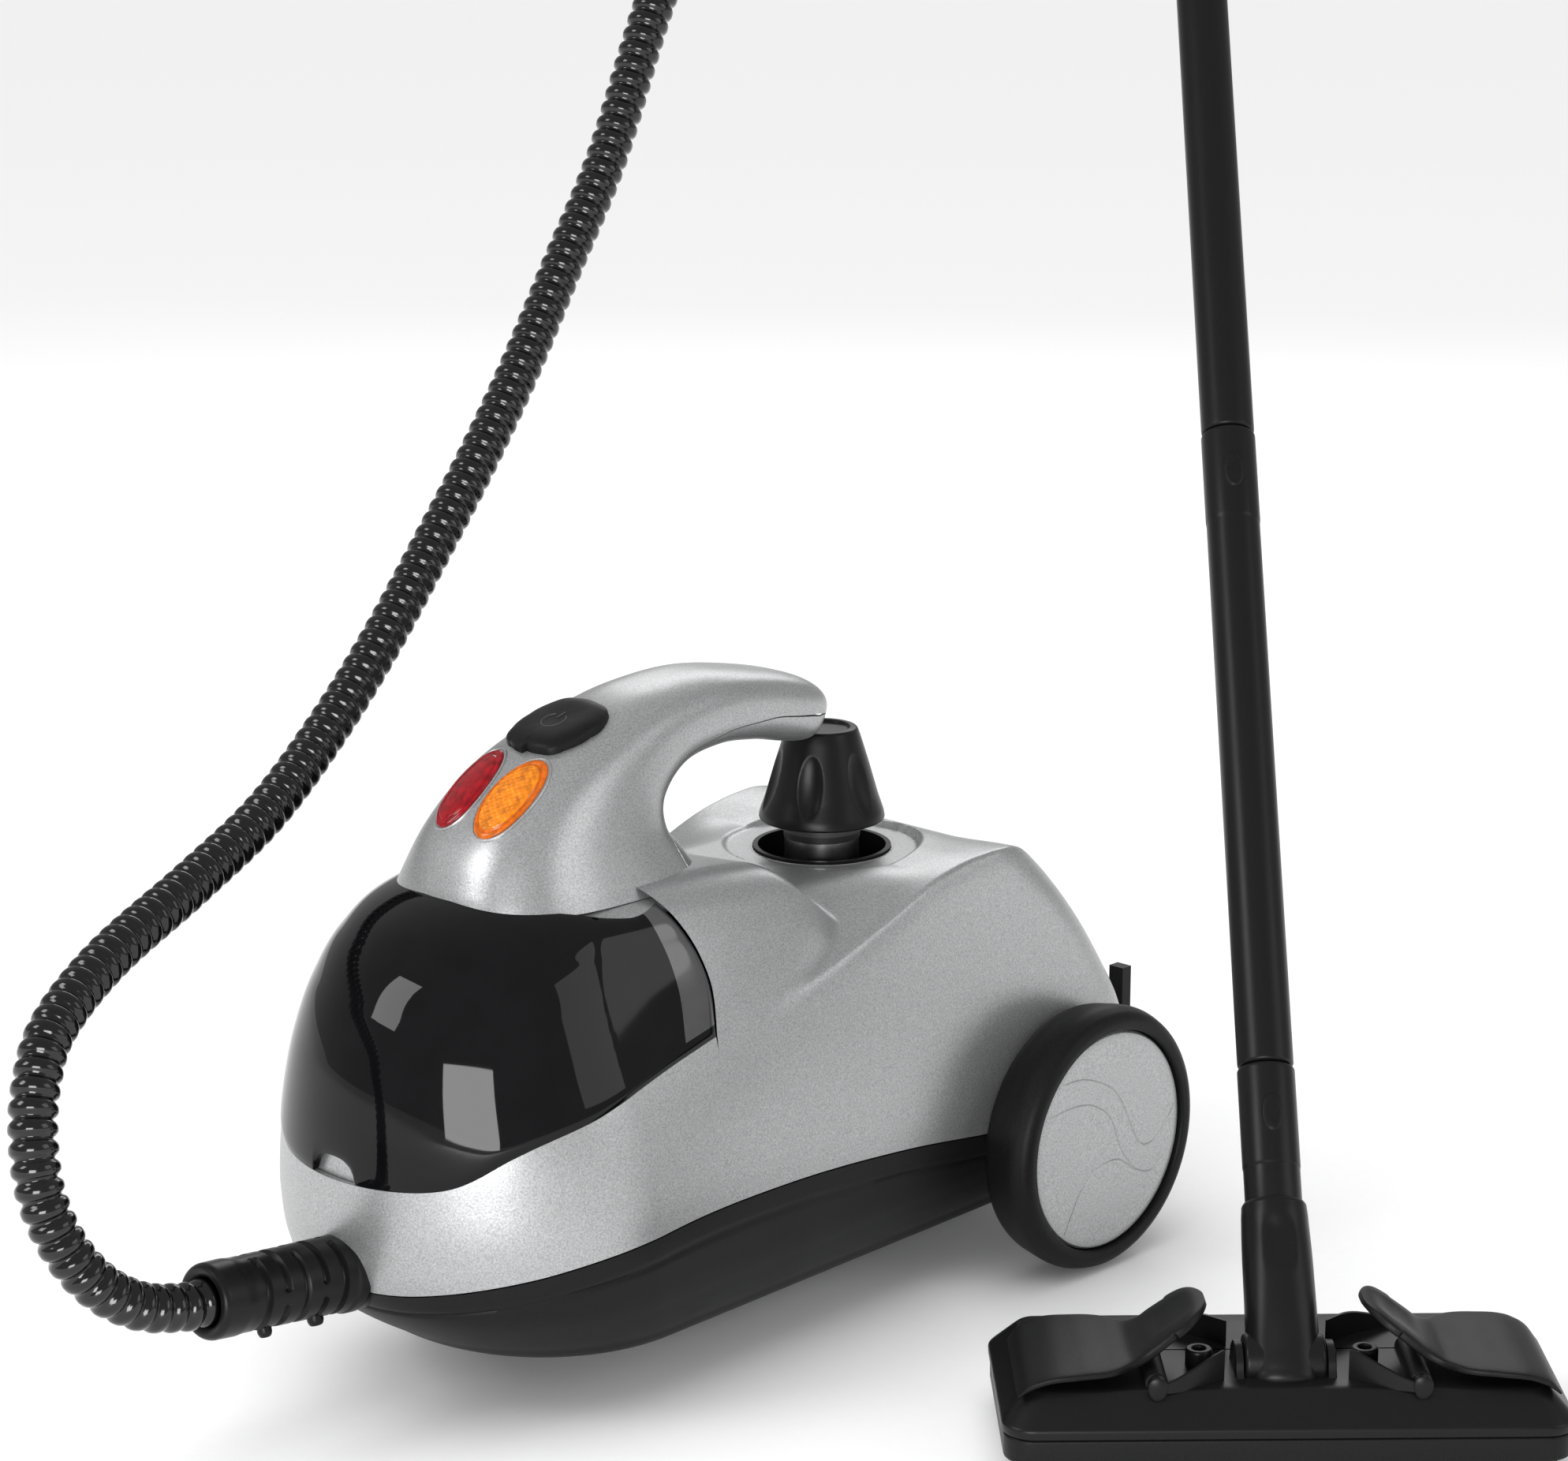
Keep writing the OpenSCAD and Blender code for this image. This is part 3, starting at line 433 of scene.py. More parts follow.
def nose_belt(low_fn, high_fn, rows=WALL_ROWS, inset=0.0):
    """Band round the nose between two edges drawn as height against y, from the tip to the split."""
    t = np.linspace(0, 1, NOSE_COLS)
    low = solve(lambda z: z - low_fn(nose_point(t, z)), np.full(NOSE_COLS, 0.016), np.full(NOSE_COLS, 0.2))
    high = solve(lambda z: z - high_fn(nose_point(t, z)), np.full(NOSE_COLS, 0.03), np.full(NOSE_COLS, 0.21))
    z = low[:, None] + (high - low)[:, None] * np.linspace(0, 1, rows)[None, :]
    x, y = nose_point(np.repeat(t[:, None], rows, 1), z)
    return np.stack([x, y, z], -1)


def both_sides(half):
    """Half a band from the tip to the split, mirrored to the full band."""
    other = half[:0:-1] * np.array([-1, 1, 1])
    return np.concatenate([other, half], 0)


def inward(rows, depth, edge="last", axis=1):
    """Adds a small return lip at an edge row, pointing to the canister's middle line."""
    p = np.moveaxis(rows, axis, 0)
    ends = p[-1] if edge == "last" else p[0]
    core = ends * np.array([0.0, 1.0, 1.0])
    core[..., 1] = np.clip(core[..., 1], -0.26, -0.02)
    way = core - ends
    way[..., 2] = 0
    way /= np.maximum(np.linalg.norm(way, axis=-1, keepdims=True), 1e-6)
    lip = [ends + way * depth * 0.35, ends + way * depth]
    p = np.concatenate([p, np.array(lip)],
                       0) if edge == "last" else np.concatenate([np.array(lip[::-1]), p], 0)
    return np.moveaxis(p, 0, axis)


GAP = 0.35 * MM


def silver_housing():
    b = Build()
    belt = nose_belt(lambda p: seam_z(p[1]) + GAP, lambda p: visor_low_z(p[1]) - GAP)
    b.grid(inward(inward(both_sides(belt), 2.5 * MM, "first"), 2.5 * MM))
    ys = np.concatenate([np.linspace(-208, -80, 92), np.linspace(-80, 30, 64)[1:],
                         np.linspace(30, 66, 44)[1:]]) * MM
    crease = ridge_z(ys)
    wide = side_x(ys, crease)
    low = seam_z(ys) + GAP
    z = low[:, None] + np.maximum(crease - low, 0.0005)[:, None] * np.linspace(0, 1, WALL_ROWS)[None, :]
    y = np.repeat(ys[:, None], WALL_ROWS, 1)
    wall = np.stack([side_x(y, z), y, z], -1)
    share = 1 - np.linspace(0, 1, 84)[1:] ** 1.12
    x = wide[:, None] * share[None, :]
    y = np.repeat(ys[:, None], x.shape[1], 1)
    z = deck_height(x, y)
    fade = 1 - ramp(ys, -208 * MM, -170 * MM)
    y = y + fade[:, None] * (visor_back_y(np.clip(z, 0.150, 0.212)) - SPLIT_Y + 0.5 * MM)
    deck = np.stack([x, y, z], -1)
    half = np.concatenate([wall, deck], 1)
    k = np.arange(half.shape[1])
    near = np.exp(-((k - WALL_ROWS + 1) / 4.0) ** 2)[None, :, None] * np.ones((len(ys), 1, 1))
    half = blur(half, 1, 10, near)
    full = np.concatenate([half, half[:, -2::-1] * np.array([-1, 1, 1])], 1)
    full = inward(inward(full, 2.5 * MM, "first"), 2.5 * MM)
    flat = full.reshape(-1, 3)
    d = np.hypot(flat[:, 0], flat[:, 1] - FILLER_Y)
    rim = 31 * MM
    close = (np.abs(d - rim) < 0.75 * MM) & (flat[:, 2] > 0.17)
    for c in (0, 1):
        o = 0 if c == 0 else FILLER_Y
        flat[close, c] = o + (flat[close, c] - o) * rim / d[close]
    full = flat.reshape(full.shape)
    b.grid(full, keep=lambda c: ~((np.hypot(c[:, 0], c[:, 1] - FILLER_Y) < rim) & (c[:, 2] > 0.17)))
    last = full[-1]
    drop = last.copy()
    drop[:, 2] = np.minimum(drop[:, 2], seam_z(0.066) + GAP)
    b.grid(np.array([last, drop, drop + np.array([0, -2.5 * MM, 0])]))
    b.make("housing_shell", [SILVER], "canister", ["upper_housing"], "silver_paint", sharp=50, weld=4e-5)

    ring = Build()
    ring.turned(np.array([[32.4, 184.2], [31.8, 184.95], [31.2, 184.95], [30.9, 184.2], [30.9, 178]]) * MM,
                (0, FILLER_Y, 0), (0, 0, 1), n=120)
    ring.make("filler_rim", [SILVER], "canister", slot="silver_paint")


def collar():
    """Skirt between the visor's top edge and the handle's root."""
    ang = np.radians(np.linspace(0, 360, 145)[:-1])
    rows = []
    for t in np.linspace(0, 1, 12):
        rx = COLLAR[2] * (1 - t) + 51.3 * MM * t + 0.7 * MM * math.sin(math.pi * t)
        ry = COLLAR[3] * (1 - t) + 62.4 * MM * t + 0.7 * MM * math.sin(math.pi * t)
        cy = COLLAR[1] * (1 - t) - 226 * MM * t
        x, y = rx * np.cos(ang), cy + ry * np.sin(ang)
        base = np.maximum(collar_base(x if t == 0 else COLLAR[2] * np.cos(ang),
                                      COLLAR[1] + COLLAR[3] * np.sin(ang)), 0.19)
        z = base * (1 - t) + 204.8 * MM * t
        rows.append(np.stack([x, y, np.maximum(z, base)], 1))
    rows = [rows[0] + np.array([0, 0, -3 * MM])] + rows + [rows[-1] * np.array([0.94, 1, 1])]
    b = Build()
    b.grid(np.array(rows), loop_cols=True)
    b.make("handle_collar", [SILVER], "canister", slot="silver_paint", sharp=50)


def collar_base(x, y):
    """Height of the canister's outer surface above a point of the collar."""
    z = np.linspace(150, 212, 200) * MM
    out = np.empty(len(x))
    for i in range(len(x)):
        yy = min(y[i], -208 * MM)
        w = side_x(np.full_like(z, yy), z)
        inside = (w >= abs(x[i])) & (y_nose(z) <= yy)
        out[i] = z[inside][-1] if inside.any() else z[0]
    return np.minimum(out, 204.6 * MM)


def edge_loop(grid):
    """The points round the edge of a grid, in order."""
    return np.concatenate([grid[:, 0], grid[-1, 1:], grid[-2::-1, -1], grid[0, -2:0:-1]])


def visor():
    """Glossy cover of the nose, with a finger notch in its lower edge."""
    t = np.concatenate([np.linspace(0, 0.16, 60), np.linspace(0.16, 1, 110)[1:]])
    n = len(t)
    low = solve(lambda z: z - visor_low_z(nose_point(t, z)[1]), np.full(n, 0.03), np.full(n, 0.2))
    x0, _ = nose_point(t, low)
    notch = 9.5 * MM * np.sqrt(np.clip(1 - (np.abs(x0) / (12.5 * MM)) ** 2.6, 0, 1))
    low = low + notch

    def inside(z):
        x, y = nose_point(t, z)
        return 1 - (x / COLLAR[2]) ** 2 - ((y - COLLAR[1]) / COLLAR[3]) ** 2
    high = solve(inside, np.full(n, 0.152), np.full(n, 0.2135))
    rows = 70
    z = low[:, None] + (high - low)[:, None] * np.linspace(0, 1, rows)[None, :]
    x, y = nose_point(np.repeat(t[:, None], rows, 1), z)
    pull = ramp(t, 0.72, 1.0)[:, None]
    y2 = y + pull * (visor_back_y(z) - SPLIT_Y)
    x = np.where(pull > 0, np.where(x > 0.5 * half_nose(z), side_x(y2, z), x), x)
    half = np.stack([x, y2, z], -1)
    full = both_sides(half)
    centre = np.array([0, -0.24, 0.13])
    out = full - centre
    out /= np.linalg.norm(out, axis=-1, keepdims=True)
    edge = np.minimum(np.minimum(np.arange(rows), rows - 1 - np.arange(rows))[None, :] * 1.2,
                      np.minimum(np.arange(len(full)), len(full) - 1 - np.arange(len(full)))[:, None] * 1.6)
    lift = 0.7 * MM * (1 - np.exp(-edge / 1.4))
    skin = full + out * (lift + 0.15 * MM)[..., None]
    inner = full - out * 2.6 * MM
    b = Build()
    # The columns near both side edges get the lighter grey: a painted band of light refracted through the visor's
    # edge
    cols = np.arange(len(full) - 1)
    band = (cols < 13) | (cols >= len(full) - 14)
    strip = np.repeat(np.where(band, 1, 0)[:, None], rows - 1, 1)
    strip[:, :6] = 0
    b.grid(skin, slot=strip.reshape(-1))
    b.grid(inner)
    b.grid(np.array([edge_loop(skin), edge_loop(inner)]), loop_cols=True)
    b.make("visor_cover_shell", [GLOSS, EDGE_REFRACTION], "visor_cover", ["visor"], "gloss_black", sharp=50)

    back = Build()
    t = np.linspace(0, 0.2, 20)
    z = np.linspace(96, 122, 12) * MM
    x, y = nose_point(np.repeat(t[:, None], 12, 1), np.repeat(z[None], 20, 0))
    half = np.stack([x, y + 3.2 * MM, np.repeat(z[None], 20, 0)], -1)
    back.grid(both_sides(half))
    back.make("notch_floor", [SILVER], "canister", slot="silver_paint")


def base_shell():
    b = Build()
    rows = 46

    def lowest(p):
        return np.full(np.shape(p[1]), 15.2 * MM)
    nose = nose_belt(lowest, lambda p: seam_z(p[1]) - GAP, rows)
    ys = np.concatenate([np.linspace(-208, 20, 90), np.linspace(20, 66.4, 40)[1:]]) * MM
    low = np.full(len(ys), 15.2 * MM)
    z = low[:, None] + (seam_z(ys) - GAP - low)[:, None] * np.linspace(0, 1, rows)[None, :]
    t = (ys - SPLIT_Y) / (ys[-1] - SPLIT_Y)
    y = SPLIT_Y + t[:, None] * (y_rear(z) - 0.2 * MM - SPLIT_Y)
    wall = np.stack([side_x(y, z), y, z], -1)
    half = np.concatenate([nose, wall[1:]], 0)
    ring = np.concatenate([half, half[::-1] * np.array([-1, 1, 1])], 0)
    top_gap = seam_z(ring[..., 1]) - ring[..., 2]
    core = ring * np.array([0, 1, 1])
    core[..., 1] = np.clip(core[..., 1], -0.26, -0.02)
    out = ring - core
    out[..., 2] = 0
    out /= np.maximum(np.linalg.norm(out, axis=-1, keepdims=True), 1e-6)
    groove = 0.9 * MM * np.exp(-((top_gap - 11 * MM) / (0.9 * MM)) ** 2)
    ring = ring - out * groove[..., None]
    ring = np.concatenate([ring, ring[:, -1:] - out[:, -1:] * 2.5 * MM], 1)
    b.grid(ring, loop_rows=True)
    foot = ring[:, 0]
    hub = np.array([0, -172 * MM])
    way = foot[:, :2] - hub
    ang = np.arctan2(way[:, 1], way[:, 0])
    circle = np.stack([hub[0] + 31 * MM * np.cos(ang), hub[1] + 31 * MM * np.sin(ang),
                       np.full(len(foot), 15 * MM)], 1)
    rows = [foot]
    for t in np.linspace(0.06, 1, 14):
        p = foot * (1 - t) + circle * t
        p[:, 2] = 15 * MM
        rows.append(p)
    rows.append(circle + np.array([0, 0, 26 * MM]))
    b.grid(np.array(rows), loop_cols=True)
    b.make("base_moulding", [BLACK], "canister", ["base_shell"], "black_plastic", sharp=50, weld=3e-5)


# ---------- handle ----------

HANDLE = np.array([
    [-226, 200, 0, 128, 54], [-227, 212, 2, 118, 47], [-224, 225, 9, 104, 41], [-212.5, 238.5, 27, 79, 36],
    [-195, 251, 50, 51, 31], [-171, 261, 73, 37, 27], [-142, 264, 88, 33, 25], [-114, 260.5, 100, 31, 23],
    [-92, 255, 108, 30, 21], [-78, 250, 114, 25, 17], [-71, 247, 118, 14, 10]], float)
HANDLE_POWER = 2.8
handle_fn = [spline(np.arange(len(HANDLE)), HANDLE[:, k] * (1 if k == 2 else MM)) for k in range(5)]
PARTING = np.array([[-184, 195], [-184, 205], [-187, 222], [-183, 240], [-166, 252], [-140, 257],
                    [-112, 257], [-60, 248], [-40, 244]]) * MM


def handle_point(s, ang, lift=0.0):
    """Point of the handle: s along its sections, ang round it (-90 degrees is the outer side)."""
    y, z, tilt, thick, half = [f(s) for f in handle_fn]
    tilt = np.radians(tilt)
    power = HANDLE_POWER
    c, q = np.cos(ang), np.sin(ang)
    px = (half + lift) * np.sign(c) * np.abs(c) ** (2 / power)
    py = (thick / 2 + lift) * np.sign(q) * np.abs(q) ** (2 / power)
    return np.stack([px, y + py * np.cos(tilt), z - py * np.sin(tilt)], -1)


def handle_seam(s):
    """Angle round the handle of the parting line."""
    out = []
    for v in s:
        y, z, tilt, thick, _ = [float(f(v)) for f in handle_fn]
        a = math.radians(tilt)
        e = np.array([math.cos(a), -math.sin(a)])
        n = np.array([math.sin(a), math.cos(a)])
        rel = PARTING - np.array([y, z])
        side = rel @ n
        along = rel @ e
        hit = [along[i] + (along[i + 1] - along[i]) * side[i] / (side[i] - side[i + 1])
               for i in range(len(side) - 1) if side[i] * side[i + 1] < 0]
        hit = [h for h in hit if abs(h) < thick * 0.6]
        r = np.clip((max(hit) if hit else 0) / (thick / 2), -0.98, 0.98)
        out.append(np.sign(r) * math.asin(abs(r) ** (HANDLE_POWER / 2)))
    return np.array(out)


# Room that the filler cap needs as it is screwed up: its radius at each height
CAP_ROOM_Z = np.array([232, 240, 245, 246.8]) * MM
CAP_ROOM_R = np.array([20.6, 18.2, 17, 16]) * MM


def clear_of_cap(p):
    """Moves points of the handle's tip out of the room that the filler cap needs as it is screwed up."""
    radius = np.interp(p[..., 2], CAP_ROOM_Z, CAP_ROOM_R)
    away = np.hypot(p[..., 0], p[..., 1] - FILLER_Y)
    out, up = radius - away, CAP_ROOM_Z[-1] - p[..., 2]
    inside = (out > 0) & (up > 0)
    sideways = inside & (out < up)
    k = np.where(sideways, radius / away, 1)
    return np.stack([p[..., 0] * k, FILLER_Y + (p[..., 1] - FILLER_Y) * k,
                     p[..., 2] + np.where(inside & ~sideways, up, 0)], -1)


TIP_PITCH = math.radians(118)
SEAM_HALF = 0.006 + 0.2 * MM / 0.03  # half the parting line's width, as an angle round the handle


def handle():
    s = np.concatenate([np.linspace(0.44, 9, 150), 9 + np.sqrt(np.linspace(0, 1, 26)[1:])])
    seam = handle_seam(np.minimum(s, 9.6))
    seam = blur(seam[:, None], 0, 12)[:, 0]
    dirn = np.array([0, math.sin(TIP_PITCH), math.cos(TIP_PITCH)])
    for upper in (True, False):
        rows = []
        for i, v in enumerate(s):
            a0 = seam[i] - SEAM_HALF if upper else seam[i] + SEAM_HALF
            a = (np.linspace(a0, -math.pi - a0, 97) if upper else np.linspace(a0, math.pi - a0, 49))
            p = handle_point(np.full(len(a), v), a)
            deep = handle_point(np.full(len(a), v), a, -1.4 * MM)
            rows.append(np.concatenate([deep[:1], p, deep[-1:]]))
        rows = np.array(rows)
        mid = rows[-1].mean(0)
        cap = [mid + (rows[-1] - mid) * math.cos(q) + dirn * 5 * MM * math.sin(q)
               for q in np.linspace(0, math.pi / 2, 10)[1:]]
        rows = np.concatenate([rows[:1] * np.array([0.96, 1, 1]), rows, np.array(cap)], 0)
        b = Build()
        b.grid(clear_of_cap(rows))
        b.make("handle_top" if upper else "handle_grip", [SILVER], "canister",
               ["handle_upper_shell" if upper else "handle_lower_shell"], "silver_paint", sharp=50)


def handle_patch(s, offset, along=0.0, across=0.0, rings=24, spokes=96, outline=None):
    """Grid of surface parameters covering an oval or outlined patch, offset sideways from the middle line."""
    q = np.linspace(0, 2 * math.pi, spokes, endpoint=False)
    r = np.linspace(0, 1, rings)
    ds = 0.01
    here, there = handle_point(np.array([s, s + ds]), np.full(2, -math.pi / 2))
    per_s = np.linalg.norm(there - here) / ds
    u, v = (along * np.cos(q), across * np.sin(q)) if outline is None else outline(q)
    along_s = s + np.outer(r, u) / per_s
    return r, along_s, across_angle(s, along_s, offset + np.outer(r, v))


def across_angle(s, along_s, away):
    """Angle round the handle at a distance from its middle line, measured over the surface at section s."""
    turn = np.linspace(0, math.pi / 2, 400)
    ring = handle_point(np.full(400, s), turn - math.pi / 2)
    reach = np.concatenate([[0], np.cumsum(np.linalg.norm(np.diff(ring, axis=0), axis=1))])
    away = away * handle_fn[4](s) / handle_fn[4](along_s)
    return np.sign(away) * np.interp(np.abs(away), reach, turn) - math.pi / 2


def surface_at(s, ang):
    """Handle surface points with their outward directions."""
    p = handle_point(s, ang)
    e = 1e-3
    du = handle_point(s + e, ang) - p
    dv = handle_point(s, ang + e) - p
    n = np.cross(du, dv)
    n /= np.linalg.norm(n, axis=-1, keepdims=True)
    core = handle_point(s, ang, -0.005)
    flip = np.sign(((p - core) * n).sum(-1))[..., None]
    return p, n * flip


LAMP_S, LAMP_OFFSET = 2.62, 12.6 * MM


def lamps():
    for side, name, node, mats in ((-1, "lamp_lens_red", "lamp_red", [RED, RED]),
                                   (1, "lamp_lens_orange", "lamp_orange", [ORANGE, AMBER])):
        r, s, a = handle_patch(LAMP_S, side * LAMP_OFFSET, 22.5 * MM, 10.8 * MM, rings=60, spokes=150)
        p, n = surface_at(s, a)
        bulge = 1.7 * MM * (1 - r ** 4) ** 0.5 + 0.25 * MM
        bulge = np.where(r > 0.985, -0.6 * MM, bulge)
        width = (r[:, None] * np.sin(np.linspace(0, 2 * math.pi, 150, endpoint=False))) * 10.5
        length = (r[:, None] * np.cos(np.linspace(0, 2 * math.pi, 150, endpoint=False))) * 23
        check = np.abs(np.sin((width + length) * math.pi / 2.9)) * np.abs(np.sin((width - length) * math.pi / 2.9))
        cut = 0.55 * MM * check * (1 - ramp(r, 0.74, 0.8))[:, None] if side > 0 else 0.0 * check
        rim = 0.7 * MM * np.exp(-((r - 0.84) / 0.03) ** 2)[:, None]
        h = bulge[:, None] + cut - rim
        b = Build()
        tone = np.repeat((r[:-1] > 0.78)[:, None], 150, 1).astype(int)
        b.grid(p + n * h[..., None], loop_cols=True, slot=tone.reshape(-1))
        b.make(name, mats, "canister", [node], "lens_red" if side < 0 else "lens_orange", sharp=60)
        edge = Build()
        r2, s2, a2 = handle_patch(LAMP_S, side * LAMP_OFFSET, 23.4 * MM, 11.7 * MM, rings=2, spokes=150)
        p2, n2 = surface_at(s2[-1:], a2[-1:])
        line = p2[0] + n2[0] * 0.1 * MM
        loop = np.concatenate([line, line[:1]])
        edge.tube(loop, 0.55 * MM, 0.8 * MM, 8)
        edge.make("lamp_rim_left" if side < 0 else "lamp_rim_right", [SILVER], "canister",
                  slot="silver_paint")


def button_outline(q):
    corners = np.array([[-19, -15], [-19, 15], [5, 19.5], [20, 12.5], [20, -12.5], [5, -19.5]]) * MM
    closed = np.vstack([corners, corners[:2]])
    line = fillet(np.vstack([(closed[0] + closed[1]) / 2, closed[1:], (closed[0] + closed[1]) / 2]), 6 * MM,
                  9)
    ang = np.unwrap(np.arctan2(line[:, 1], line[:, 0]))
    rad = np.hypot(line[:, 0], line[:, 1])
    if ang[-1] < ang[0]:
        ang, rad = ang[::-1], rad[::-1]
    target = ang[0] + np.mod(q - ang[0], 2 * math.pi)
    r = np.interp(target, ang, rad)
    return r * np.cos(q), r * np.sin(q)


BUTTON_S = 3.78


def power_button():
    r, s, a = handle_patch(BUTTON_S, 0.0, rings=40, spokes=180, outline=button_outline)
    p, n = surface_at(s, a)
    h = 4.6 * MM * (1 - r ** 9) ** 0.45 + 0.3 * MM - 0.9 * MM * np.exp(-(r / 0.5) ** 2)
    h[-1] = -1.0 * MM
    b = Build()
    b.grid(p + n * h[:, None, None], loop_cols=True)
    b.make("button_pad", [BLACK], "power_button_body", ["power_button"], "black_plastic", sharp=60)
    mark = Build()
    size = 5.2 * MM
    _, reach, _ = handle_patch(BUTTON_S, 0.0, size, size, rings=2, spokes=8)
    per_mm = (reach[-1].max() - BUTTON_S) / size
    turn = np.radians(np.linspace(35, 325, 40))
    strokes = [(size * np.cos(turn) - 1.5 * MM, size * np.sin(turn)),
               (np.linspace(0.5, 5.5, 8) * MM, np.zeros(8))]
    for along, across in strokes:
        s = BUTTON_S + along * per_mm
        p, n = surface_at(s, across_angle(BUTTON_S, s, across))
        mark.tube(p + n * 4.15 * MM, 0.28 * MM, 0.7 * MM, 6)
    mark.make("button_mark", [GREY], "power_button_body", slot="dark_grey")


# ---------- filler cap ----------

def filler_cap():
    low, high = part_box("cap_knob")
    z0, top = low.z, high.z - low.z
    profile = fillet(np.array([[0, top - 1.6 * MM], [11.6 * MM, top - 1.6 * MM], [12.2 * MM, top - 0.2 * MM],
                               [13.4 * MM, top], [15.6 * MM, top - 0.4 * MM], [17 * MM, top - 4 * MM],
                               [21 * MM, 25 * MM], [25 * MM, 11 * MM], [27.6 * MM, 3.5 * MM],
                               [28 * MM, 0.6 * MM], [26.5 * MM, 0], [24.5 * MM, 0.4 * MM],
                               [22 * MM, 3 * MM], [0, 3 * MM]]), 1.6 * MM, 7)
    dense = np.vstack([np.linspace(a, b, max(2, int(np.linalg.norm(b - a) / (0.8 * MM))))[:-1]
                       for a, b in zip(profile[:-1], profile[1:])] + [profile[-1:]])

    def dimples(r, h, ang):
        a = (ang / (math.pi / 3)) % 1
        a = np.minimum(a, 1 - a) * math.pi / 3
        oval = ((a * r) / (5.6 * MM)) ** 2 + ((h - 19 * MM) / (13.5 * MM)) ** 2
        cut = 2.3 * MM * np.clip(1 - oval, 0, 1) ** 0.8
        return np.where((h > 3.2 * MM) & (r > 14 * MM), r - cut, r)
    b = Build()
    b.turned(dense, (0, FILLER_Y, z0), (0, 0, 1), n=216, shape=dimples)
    b.make("cap_grip", [SATIN], "filler_cap", ["cap_knob"], "black_plastic", sharp=45)


# ---------- wheels ----------

SWIRLS = [
    [(-37, 32), (-30, 33.5), (-19, 33), (-9, 29.5), (0, 24.5), (6, 18.5), (12, 8), (18, -3), (22, -7),
     (26, -8.2), (32, -7), (39, -2), (46, 6)],
    [(-43, 20), (-37, 21), (-25, 21.8), (-14, 20), (-3.5, 14), (2, 7), (5, -1), (9, -8), (14, -14)],
    [(-31, -38.5), (-26, -29), (-21, -20), (-14, -14), (-8, -10.8), (0, -9.5), (6, -10.4), (12, -14),
     (18, -18), (28, -21.5), (36, -19), (43, -14)]]


def wheels():
    for side, word in ((-1, "left"), (1, "right")):
        tyre_lo, tyre_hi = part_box("tyre_" + word)
        centre = np.array([0, (tyre_lo.y + tyre_hi.y) / 2, (tyre_lo.z + tyre_hi.z) / 2])
        face = tyre_hi.x if side > 0 else -tyre_lo.x
        radius = (tyre_hi.z - tyre_lo.z) / 2
        wide = tyre_hi.x - tyre_lo.x
        axis = (side, 0, 0)
        t = Build()
        outline = fillet([(50.2 * MM, -wide), (55.5 * MM, -wide), (radius - 2.4 * MM, -wide + 4 * MM),
                          (radius - 0.4 * MM, -13 * MM), (radius, -8 * MM), (radius - 2.2 * MM, -2.2 * MM),
                          (54.5 * MM, -0.1 * MM), (50.9 * MM, -0.5 * MM), (50.2 * MM, -1.4 * MM),
                          (50.2 * MM, -wide)], 3.6 * MM, 9)
        t.turned(outline, centre + np.array([side * face, 0, 0]), axis, n=160)
        t.make("tyre_ring_" + word, [TYRE], "wheel_" + word, ["tyre_" + word], "tyre", sharp=45)
        d = Build()
        dish = spline([0, 20 * MM, 40 * MM, 48 * MM, 49.9 * MM],
                      [-1.2 * MM, -1.3 * MM, -1.9 * MM, -2.4 * MM, -2.9 * MM])
        rr = np.concatenate([np.linspace(0, 48, 40), np.linspace(48, 49.6, 8)[1:]]) * MM
        face_line = [(r, float(dish(r)) - (0.9 * MM * ramp(r, 48.6 * MM, 49.6 * MM))) for r in rr]
        back = [(49.9 * MM, -5 * MM), (49.9 * MM, -wide + 0.5 * MM), (46 * MM, -wide + 0.5 * MM),
                (46 * MM, -8 * MM), (16 * MM, -12 * MM), (12 * MM, -wide - 3.5 * MM),
                (4.2 * MM, -wide - 3.5 * MM)]
        d.turned(np.array(face_line + back), centre + np.array([side * face, 0, 0]), axis, n=160)
        for line in SWIRLS:
            p = np.array([[0, y, z] for y, z in line]) * MM
            p, _ = route(p, 1.2 * MM)
            keep = np.hypot(p[:, 1], p[:, 2]) < 48.2 * MM
            p = p[keep]
            p[:, 1] *= side
            h = dish(np.hypot(p[:, 1], p[:, 2]))
            p[:, 0] = side * (face + h - 0.12 * MM)
            d.tube(p + centre, 0.42 * MM, 1.2 * MM, 6)
        d.make("wheel_face_" + word, [SILVER], "wheel_" + word, ["wheel_disc_" + word], "silver_paint",
               sharp=40)


# ---------- hose ----------

HOSE = np.array([
    [0, -413.6, 71.4], [0, -424, 72.6], [-1, -442, 78], [-3, -459, 90], [-7, -471, 107], [-13, -477, 128],
    [-20, -475, 149], [-29, -466, 168], [-40, -449, 184], [-57, -410, 199], [-76, -352, 214],
    [-90, -302, 231], [-105, -255, 256], [-118, -213, 285], [-130, -173, 318], [-140, -137, 350],
    [-150, -101, 386], [-160, -64, 429], [-168, -28, 474], [-178, 12, 539], [-189, 52, 590],
    [-207, 104, 629], [-233, 160, 652], [-257, 206, 660], [-273, 244, 662], [-281, 278, 662],
    [-272, 315, 661], [-243, 345, 660.5],
    [-203, 355.5, 660], [-170, 351, 660], [-157, 345, 660], [-144.9, 332.9, 659.8]]) * MM
HOSE_D = 19.5 * MM


def hose():
    pitch = 7.6 * MM

    def wave(s):
        k = (0.5 + 0.5 * np.cos(2 * math.pi * s / pitch)) ** 0.7
        return HOSE_D / 2 - 2.3 * MM * (1 - k) ** 1.7
    b = Build()
    line = b.tube(HOSE, HOSE_D / 2, pitch / 9, 26, wave=wave)
    obj = b.make("steam_hose_skin", [HOSE_SKIN], None, ["steam_hose"], "hose_skin", sharp=60)
    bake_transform(obj)


